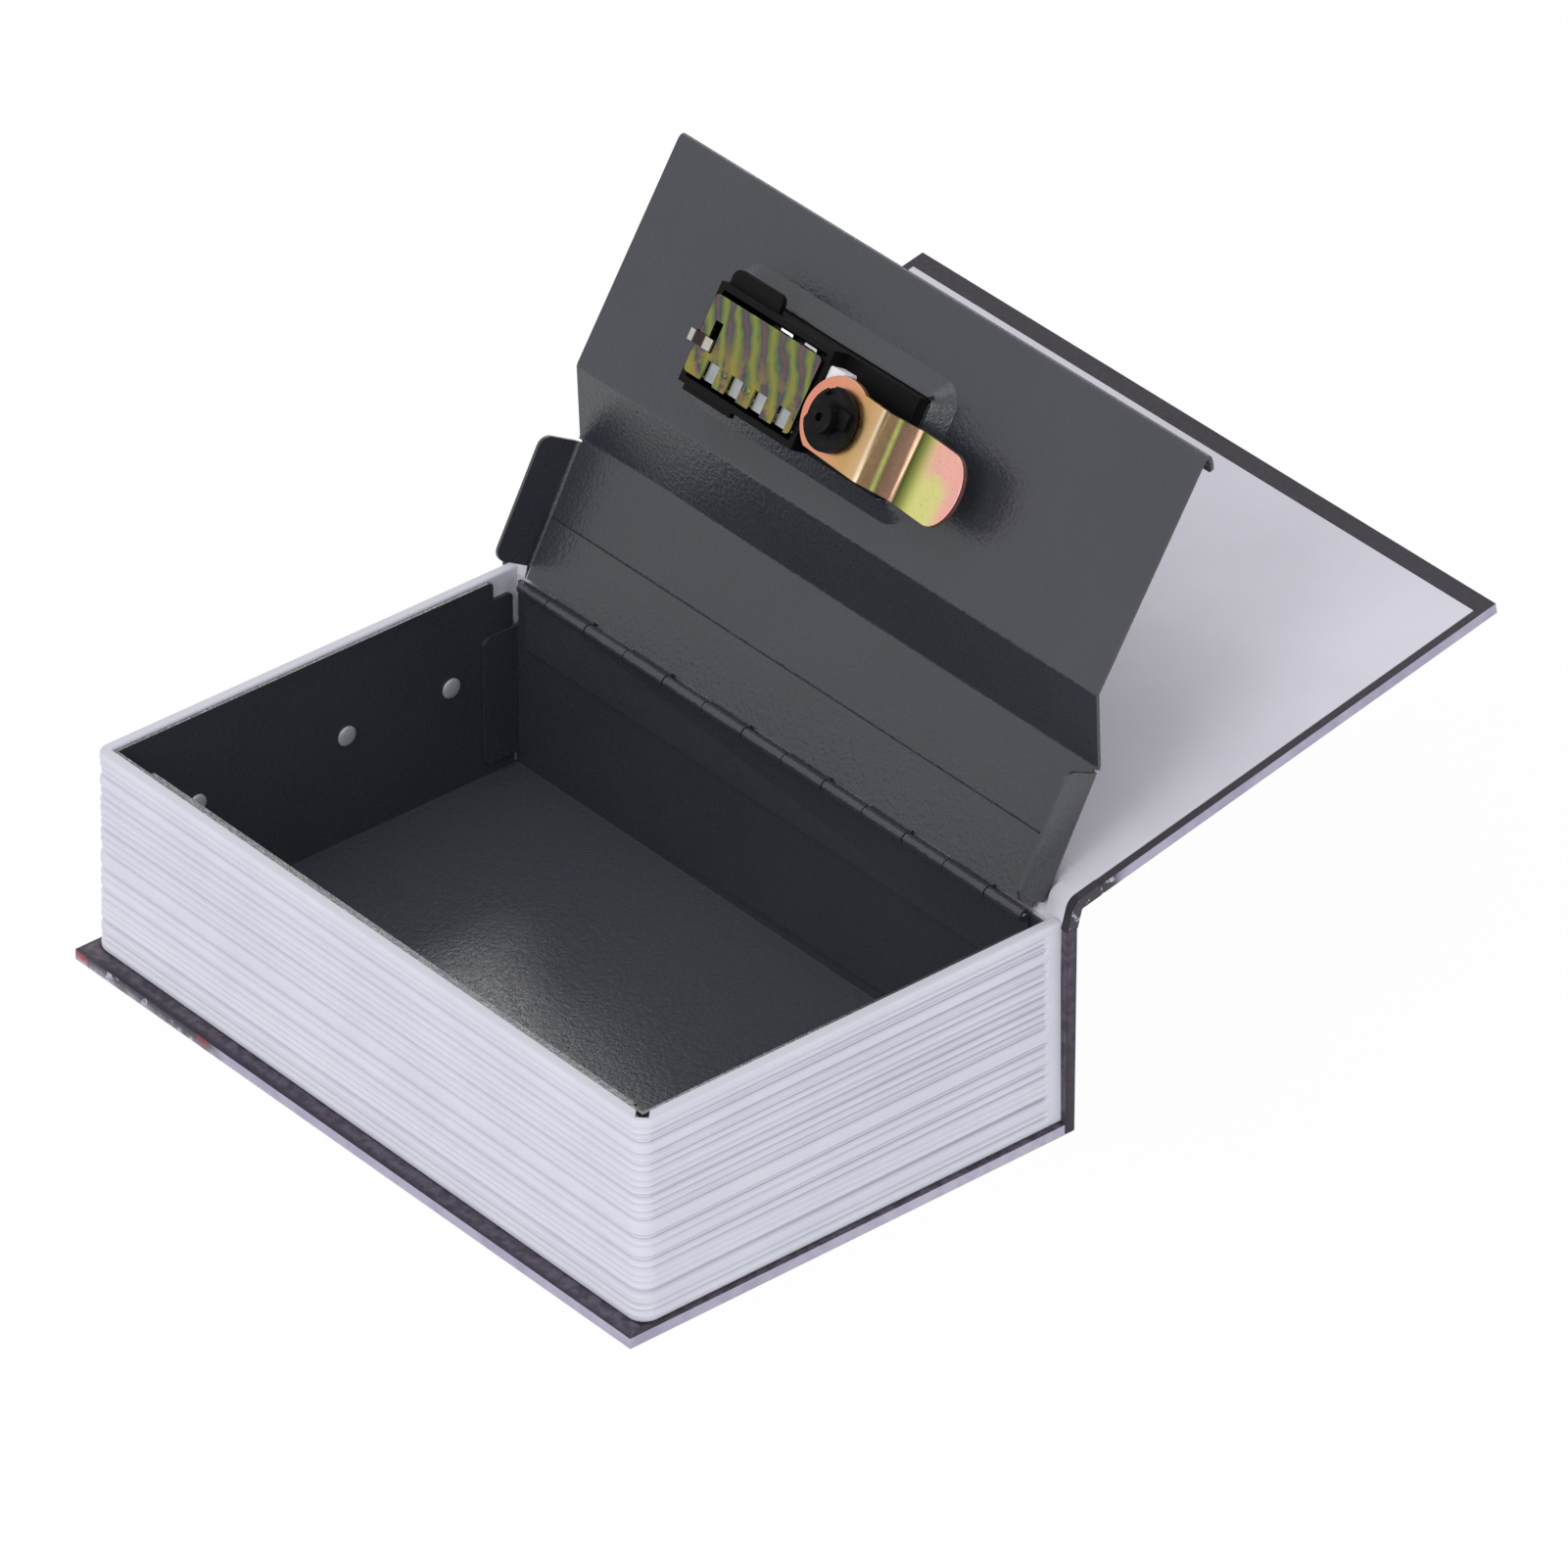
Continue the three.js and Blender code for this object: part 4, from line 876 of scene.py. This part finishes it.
def makeLidStrip():
    values = lidSheet
    room, flat = values["foldRoom"], values["stripHeight"]
    half = values["halfWidth"] - room
    lid = addPlane("lidSheet", (-half, -values["stripLength"], flat), (half, -values["stripStart"], flat))
    flangeEnd = values["flangeEnd"] - values["flangeGap"]
    for level in (values["flangeStart"], flangeEnd, values["flangeEnd"]):
        chooseAll(lid)
        bpy.ops.mesh.bisect(plane_co=(0, -level * mm, flat * mm), plane_no=(0, 1, 0))
    choose(lid, "VERT", lambda vert, place: place.y > -values["stripStart"] - 0.1)
    bpy.ops.transform.resize(value=((values["halfWidth"] - values["cornerCut"]) / half, 1, 1))

    # Flanges, turned down and splayed
    splay, depth = math.radians(values["flangeSplay"]), values["flangeDepth"]
    for side in (-1, 1):
        choose(lid, "EDGE", lambda edge, place: side * place.x > half - 0.1
               and -flangeEnd < place.y < -values["flangeStart"])
        extrude(side * room, 0, 0)
        extrude(side * depth * math.sin(splay), 0, -depth * math.cos(splay))
    choose(lid, "EDGE", lambda edge, place: near(abs(place.x), values["halfWidth"], 0.02)
           and near(place.z, flat, 0.02) and edge.calc_length() > 10 * mm)
    bevelChosen(values["flangeFold"], 5, "EDGES")
    choose(lid, "VERT", lambda vert, place: place.z < flat - depth + 0.5)
    bevelChosen(values["flangeRound"], 6, "VERTICES")
    chooseAll(lid, "VERT")
    tilt = math.radians(values["stripTilt"])
    bpy.ops.transform.rotate(value=-tilt, orient_axis="X", center_override=(0, 0, 0))
    return lid


# The pocket, pressed into the panel round the lock
def pressPocket(lid):
    values = lidSheet
    half, inset = values["halfWidth"] - values["foldRoom"], values["panelInset"]
    stepEnd, (front, level) = values["stepEnd"][0], values["front"]
    (left, right), (low, high) = values["pocketX"], values["pocketY"]

    def onPanel(place):
        return near(place.z, level, 0.01) and place.y < stepEnd - 0.1

    def inPocket(place, grow):
        return left - grow < place.x < right + grow and low - grow < place.y < high + grow

    choose(lid, "FACE", lambda face, place: onPanel(place) and abs(place.x) < 1)
    bpy.ops.mesh.inset(thickness=inset * mm)
    sides = ((0, -half + inset, left), (0, half - inset, right),
             (1, front + inset, low), (1, stepEnd - inset, high))
    for axis, start, end in sides:
        choose(lid, "VERT", lambda vert, place: onPanel(place) and near(place[axis], start, 0.1)
               and abs(place.x) < half - 1 and front + 1 < place.y < stepEnd - 1)
        move(*((end - start, 0, 0) if axis == 0 else (0, end - start, 0)))
    choose(lid, "VERT", lambda vert, place: onPanel(place) and inPocket(place, 0.1))
    bevelChosen(values["pocketCorner"], 6, "VERTICES")
    choose(lid, "FACE", lambda face, place: onPanel(place) and inPocket(place, -8)
           and face.calc_area() > 500 * mm * mm)
    for inward, drop in values["pocketSteps"]:
        bpy.ops.mesh.inset(thickness=inward * mm)
        move(0, 0, -drop)
    bpy.ops.transform.resize(value=(values["openingShrink"], 1, 1))
    move(values["openingShift"], 0, 0)
    bpy.ops.mesh.delete(type="FACE")


def makeLidSheet():
    values = lidSheet
    lid = makeLidStrip()
    half, flat = values["halfWidth"] - values["foldRoom"], values["stripHeight"]

    # Step, panel and lip, each from the edge of the one before, and then their folded sides
    tilt, length = math.radians(values["stripTilt"]), values["stripLength"]
    stripEnd = Vector((-length * math.cos(tilt) - flat * math.sin(tilt),
                       -length * math.sin(tilt) + flat * math.cos(tilt)))
    choose(lid, "EDGE", lambda edge, place: abs(place.x) < 1 and near(place.y, stripEnd.x))
    folds = [stripEnd, *(Vector(values[key]) for key in ("stepEnd", "front", "lipEnd"))]
    for before, after in zip(folds, folds[1:]):
        extrude(0, after.x - before.x, after.y - before.y)
    for side in (-1, 1):
        choose(lid, "EDGE", lambda edge, place: near(side * place.x, half, 0.02) and len(edge.link_faces) == 1
               and (place.y < -values["flangeEnd"] - 0.1 or place.z < -3)
               and spread(edge, 0) < 0.001 and spread(edge, 1) > 0.2)
        extrude(side * values["foldRoom"], 0, 0)
    pressPocket(lid)

    # Bend lines and the lip's corners
    for at, offset in zip(folds, values["bends"]):
        choose(lid, "EDGE", lambda edge, place: near(place.y, at.x) and near(place.z, at.y)
               and spread(edge, 1) < 0.01)
        bevelChosen(offset, 5, "EDGES")
    choose(lid, "VERT", lambda vert, place: near(place.y, folds[-1].x) and near(place.z, folds[-1].y)
           and near(abs(place.x), values["halfWidth"]))
    bevelChosen(values["lipRound"], 4, "VERTICES")
    closeUp(lid, 0.002)
    addModifier(lid, "SOLIDIFY", thickness=values["sheet"] * mm, offset=0, use_even_offset=True)
    softenEdges(lid, values["softWidth"], values["softAngle"])
    smooth(lid, 38)
    swingOpen(lid)
    dress(lid, "lid", "powder_coated_steel", finish["powderCoat"], stands=("lid_panel",))


makeLidSheet()
print("lid is folded")


# Covers, spine and crease
def printOutside(obj, inward):
    direction = Vector(inward).normalized()
    paintFaces(obj, 1, lambda face, place: face.normal.dot(direction) < 0.6)


coverSlope = math.radians(12)
plum, stock = finish["turnInPlum"], finish["endpaperStock"]
backWrap = softCopy("back_wrap", "backCoverWrap", "book", "printed_wrap", plum, finish["backPrint"],
                    width=0.35, segments=3)
printOutside(backWrap, (0, 0, 1))
softCopy("spine_wrap", "spineWrap", "book", "printed_wrap", plum, width=0.3, segments=3)
frontWrap = softCopy("front_wrap", "frontCoverWrap", "front_cover", "printed_wrap", plum,
                     finish["frontPrint"], width=0.35, segments=3)
printOutside(frontWrap, (0, -math.sin(coverSlope), math.cos(coverSlope)))
softCopy("spine_liner", "spineLiner", "book", "endpaper", stock, width=0.05)
softCopy("front_endpaper", "frontEndpaper", "front_cover", "endpaper", stock, width=0.05)

# The back endpaper's border gets the dark plum finish, so the page block's foot meets a dark line
endpaperDarkBorder = {"halfLength": 86.6, "foreEdge": -52.6}


def makeBackEndpaper():
    half, foreEdge = endpaperDarkBorder["halfLength"], endpaperDarkBorder["foreEdge"]
    paper = softCopy("back_endpaper", "backEndpaper", "book", "endpaper", stock, plum, width=0.05)
    for x, y, normal in ((half, 0, (1, 0, 0)), (-half, 0, (1, 0, 0)), (0, foreEdge, (0, 1, 0))):
        chooseAll(paper)
        bpy.ops.mesh.bisect(plane_co=(x * mm, y * mm, 0), plane_no=normal)
    paintFaces(paper, 1, lambda face, place: abs(place.x) > half or place.y < foreEdge)


makeBackEndpaper()
for node, name, body in (("back_board", "backBoard", "book"), ("spine_board", "spineBoard", "book"),
                         ("front_board", "frontBoard", "front_cover")):
    softCopy(node, name, body, "greyboard", finish["greyboardCore"])

# Crease: the flexible fold from the spine's top to the front board, cut back under the open lid.
# Its end is a little thinner and tucks into the front board.
creaseFold = {
    "halfLength": 90, "thickness": 2.6, "start": (57.4, 49.6), "corner": (58.9, 55.079),
    "end": (65.1, 56.397), "lead": 1, "bend": 1.9, "bendSteps": 12, "endSquare": 2.1,
    "tuckStep": 0.02, "tuck": 0.55, "tuckThin": 0.05,
    "lidRoom": ((-82.6, -34.3, -11), (82.6, 0, 2.5)), "spineRoom": ((-120, 40, 30), (120, 70, 49.7)),
    "inside": (0, -0.6, 0.8), "insideShare": 0.4, "softWidth": 0.12, "softAngle": 60,
}


def makeCrease():
    values = creaseFold
    start, corner, end = (Vector(values[key]) for key in ("start", "corner", "end"))
    rise, run = (corner - start).normalized(), (end - corner).normalized()
    turn = math.acos(rise.dot(run))
    setback = values["bend"] * math.tan(turn / 2)
    length, half, lead = values["halfLength"], values["thickness"] / 2, values["lead"]
    fold = addPlane("coverCrease", (-length, -half, 0), (length, half, 0))
    fold.rotation_euler = (math.atan2(rise.y, rise.x) - math.pi / 2, 0, 0)
    fold.location = Vector((0, *(start - rise * lead))) * mm
    applyPlace(fold)
    chooseAll(fold)
    straight = (corner - start).length + lead - setback
    extrude(0, rise.x * straight, rise.y * straight)
    centre = corner - rise * setback + Vector((rise.y, -rise.x)) * values["bend"]
    bpy.ops.mesh.spin(steps=values["bendSteps"], angle=turn, center=Vector((0, *centre)) * mm, axis=(1, 0, 0))
    straight = (end - corner).length - setback
    extrude(0, run.x * straight, run.y * straight)
    step = run * values["tuckStep"]
    extrude(0, step.x, step.y)
    thin = 1 - 2 * values["tuckThin"] / values["thickness"]
    bpy.ops.transform.resize(value=(thin, thin, thin), center_override=Vector((0, *(end + step))) * mm)
    bpy.ops.transform.resize(value=(1 / thin, 1, 1))
    extrude(0, run.x * values["tuck"], run.y * values["tuck"])
    closeUp(fold, 0.001)
    lidRoom = addBlock("lidRoom", *values["lidRoom"])
    swingOpen(lidRoom)
    for room in (lidRoom, addBlock("spineRoom", *values["spineRoom"])):
        combine(fold, room)
    square = length - values["endSquare"]
    for side in (-1, 1):
        chooseAll(fold)
        bpy.ops.mesh.bisect(plane_co=(side * square * mm, 0, 0), plane_no=(1, 0, 0))
    endEdit()
    softenEdges(fold, values["softWidth"], values["softAngle"])
    dress(fold, None, "printed_wrap", plum, finish["frontPrint"], stock, stands=("cover_crease",))
    inside, share = Vector(values["inside"]), values["insideShare"]
    paintFaces(fold, 1, lambda face, place: face.normal.dot(inside) < share)
    paintFaces(fold, 2, lambda face, place: face.normal.dot(inside) >= share and abs(place.x) < square)
    smooth(fold, 50)
    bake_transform(fold)


makeCrease()
print("covers are wrapped")


# Tray, rivets and hinge
coat, steel, black = finish["powderCoat"], finish["springSteel"], finish["blackPlastic"]
softCopy("steel_tray", "steelTray", "book", "powder_coated_steel", finish["trayPaint"],
         width=0.28, segments=3)
for side in ("left", "right"):
    for index in (1, 2, 3):
        softCopy(f"rivet_{side}_{index}", f"rivet{side}{index}Head", "book", "rivet_aluminium",
                 finish["rivetAluminium"], width=0.08)
softCopy("tray_hinge_leaf", "trayHingeLeaf", "book", "powder_coated_steel", coat)
softCopy("lid_hinge_leaf", "lidHingeLeaf", "lid", "powder_coated_steel", coat)
softCopy("hinge_pin", "hingePin", "book", "bare_steel", steel)
print("tray and hinge are in")


# Lock: the moulded and pressed pieces get the details that the CAD leaves plain
lockShape = {
    "spindleY": -70.66, "lockY": -71.46, "housingLeft": -44.85, "halfWidth": 11.25,
    "earReach": 3.6, "earRound": 1.9, "lugGaps": ((-78.7, -76.6), (-66.8, -65.0)), "lugDepth": 0.95,
    "combTabEnd": -66.36, "combTabAdd": 0.65, "combTabTop": -21.5, "combTabLeft": -37.2, "combPitch": 7.5,
    "combTabWiden": 1.15,
    "dimples": ((-33.2, -66.2), (-25.6, -66.2)), "dimpleRadius": 0.75, "dimpleWire": 0.22,
    "plateBack": -23.15,
    "capFlange": 1.6, "capRim": 9, "capCuts": ((200, 5.2, 0.9, 9), (243, 5.0, 1.2, 2.6)),
    "capPad": ((2.4, -3.3), (5.6, 0.4)), "capPadRise": 1.0, "capPadSink": 0.3,
}


def shapeHousing(obj):
    values = lockShape
    top = values["lockY"] - values["halfWidth"] - values["earReach"]
    choose(obj, "EDGE", lambda edge, place: near(place.y, top, 0.1) and spread(edge, 2) > 1)
    bevelChosen(values["earRound"], 5, "EDGES")
    endEdit()
    left = values["housingLeft"]
    for low, high in values["lugGaps"]:
        combine(obj, addBlock("lugGap", (left - 1, low, -26), (left + values["lugDepth"], high, -17)))


def shapeComb(obj):
    values = lockShape
    choose(obj, "VERT", lambda vert, place: near(place.y, values["combTabEnd"], 0.1))
    move(0, -values["combTabAdd"], 0)
    choose(obj, "VERT", lambda vert, place: place.z < values["combTabTop"]
           and (place.x - values["combTabLeft"] + 0.1) % values["combPitch"] < 0.2)
    move(-values["combTabWiden"], 0, 0)
    endEdit()


def shapeCap(obj):
    values = lockShape
    centre, rim = values["spindleY"], values["capRim"]
    face = max(vert.co.z for vert in obj.data.vertices) / mm - values["capFlange"]
    for angle, reach, depth, width in values["capCuts"]:
        cutter = addBlock("capCutter", (reach, -width / 2, face - 1), (rim, width / 2, face + depth))
        cutter.rotation_euler = (0, 0, math.radians(angle))
        cutter.location = (0, centre * mm, 0)
        applyPlace(cutter)
        combine(obj, cutter)
    (left, low), (right, high) = values["capPad"]
    back, top = face - values["capPadRise"], face + values["capPadSink"]
    combine(obj, addBlock("capPad", (left, centre + low, back), (right, centre + high, top)), "UNION")


# Small pressed rings beside the notches of the back plate
def addDimples(plate):
    values = lockShape
    rings = []
    for x, y in values["dimples"]:
        clearSelection()
        bpy.ops.mesh.primitive_torus_add(
            location=(x * mm, y * mm, values["plateBack"] * mm), major_segments=24, minor_segments=8,
            major_radius=values["dimpleRadius"] * mm, minor_radius=values["dimpleWire"] * mm,
        )
        ring = bpy.context.object
        applyPlace(ring)
        swingOpen(ring)
        ring.data.materials.append(finish["plateZinc"])
        smooth(ring)
        rings.append(ring)
    joinTo(plate, rings)


softCopy("lock_bezel", "lockBezel", "lid", "black_plastic", black, width=0.3, segments=3)
softCopy("lock_housing", "lockHousing", "lid", "black_plastic", black,
         width=0.3, segments=3, shape=shapeHousing)
plate = softCopy("lock_back_plate", "lockBackPlate", "lid", "yellow_zinc", finish["plateZinc"], width=0.18)
addDimples(plate)
softCopy("detent_comb", "detentComb", "lid", "bare_steel", steel, width=0.06, shape=shapeComb)
softCopy("dial_axle", "dialAxle", "lid", "bare_steel", steel)
softCopy("code_slide", "codeSlide", "lid", "white_plastic", finish["whitePlastic"], width=0.2)
softCopy("code_lever", "codeLever", "code_lever", "bare_steel", finish["clipSteel"])
softCopy("turn_knob", "turnKnob", "knob", "black_plastic", black, width=0.35, segments=3)
softCopy("lock_cam", "lockCam", "knob", "yellow_zinc", finish["camZinc"], width=0.16)
softCopy("cam_cap", "camCap", "knob", "black_plastic", black, width=0.2, segments=3, shape=shapeCap)

# Number dials with the numbers 0 to 9 on their flats
dialNumbers = {
    "axisY": -71.458, "axisZ": -14.6, "flat": 7.02, "height": 3.9, "fontScale": 1.35, "relief": 0.04,
    "count": 10,
}


def addNumber(number):
    values = dialNumbers
    clearSelection()
    bpy.ops.object.text_add()
    digit = bpy.context.object
    digit.data.body = str(number)
    digit.data.align_x = "CENTER"
    digit.data.align_y = "CENTER"
    digit.data.size = values["height"] * values["fontScale"] * mm
    digit.data.extrude = values["relief"] * mm
    bpy.ops.object.convert(target="MESH")
    digit = bpy.context.object
    turn = Matrix.Rotation(-2 * math.pi / values["count"] * number, 4, "X")
    digit.matrix_world = turn @ Matrix.Translation((0, 0, values["flat"] * mm))
    applyPlace(digit)
    digit.data.materials.append(finish["digitPaint"])
    return digit


def makeDial(index):
    values = dialNumbers
    dial = softCopy(f"number_dial_{index}", f"numberDial{index}", f"dial_{index}", "black_plastic", black,
                    width=0.12)
    ends = [corner[0] for corner in dial.bound_box]
    digits = [addNumber(number) for number in range(values["count"])]
    for digit in digits:
        middle = ((min(ends) + max(ends)) / 2, values["axisY"] * mm, values["axisZ"] * mm)
        digit.matrix_world = Matrix.Translation(middle)
        applyPlace(digit)
        swingOpen(digit)
    joinTo(dial, digits)


for index in (1, 2, 3):
    makeDial(index)
print("lock is in")

clearSelection()
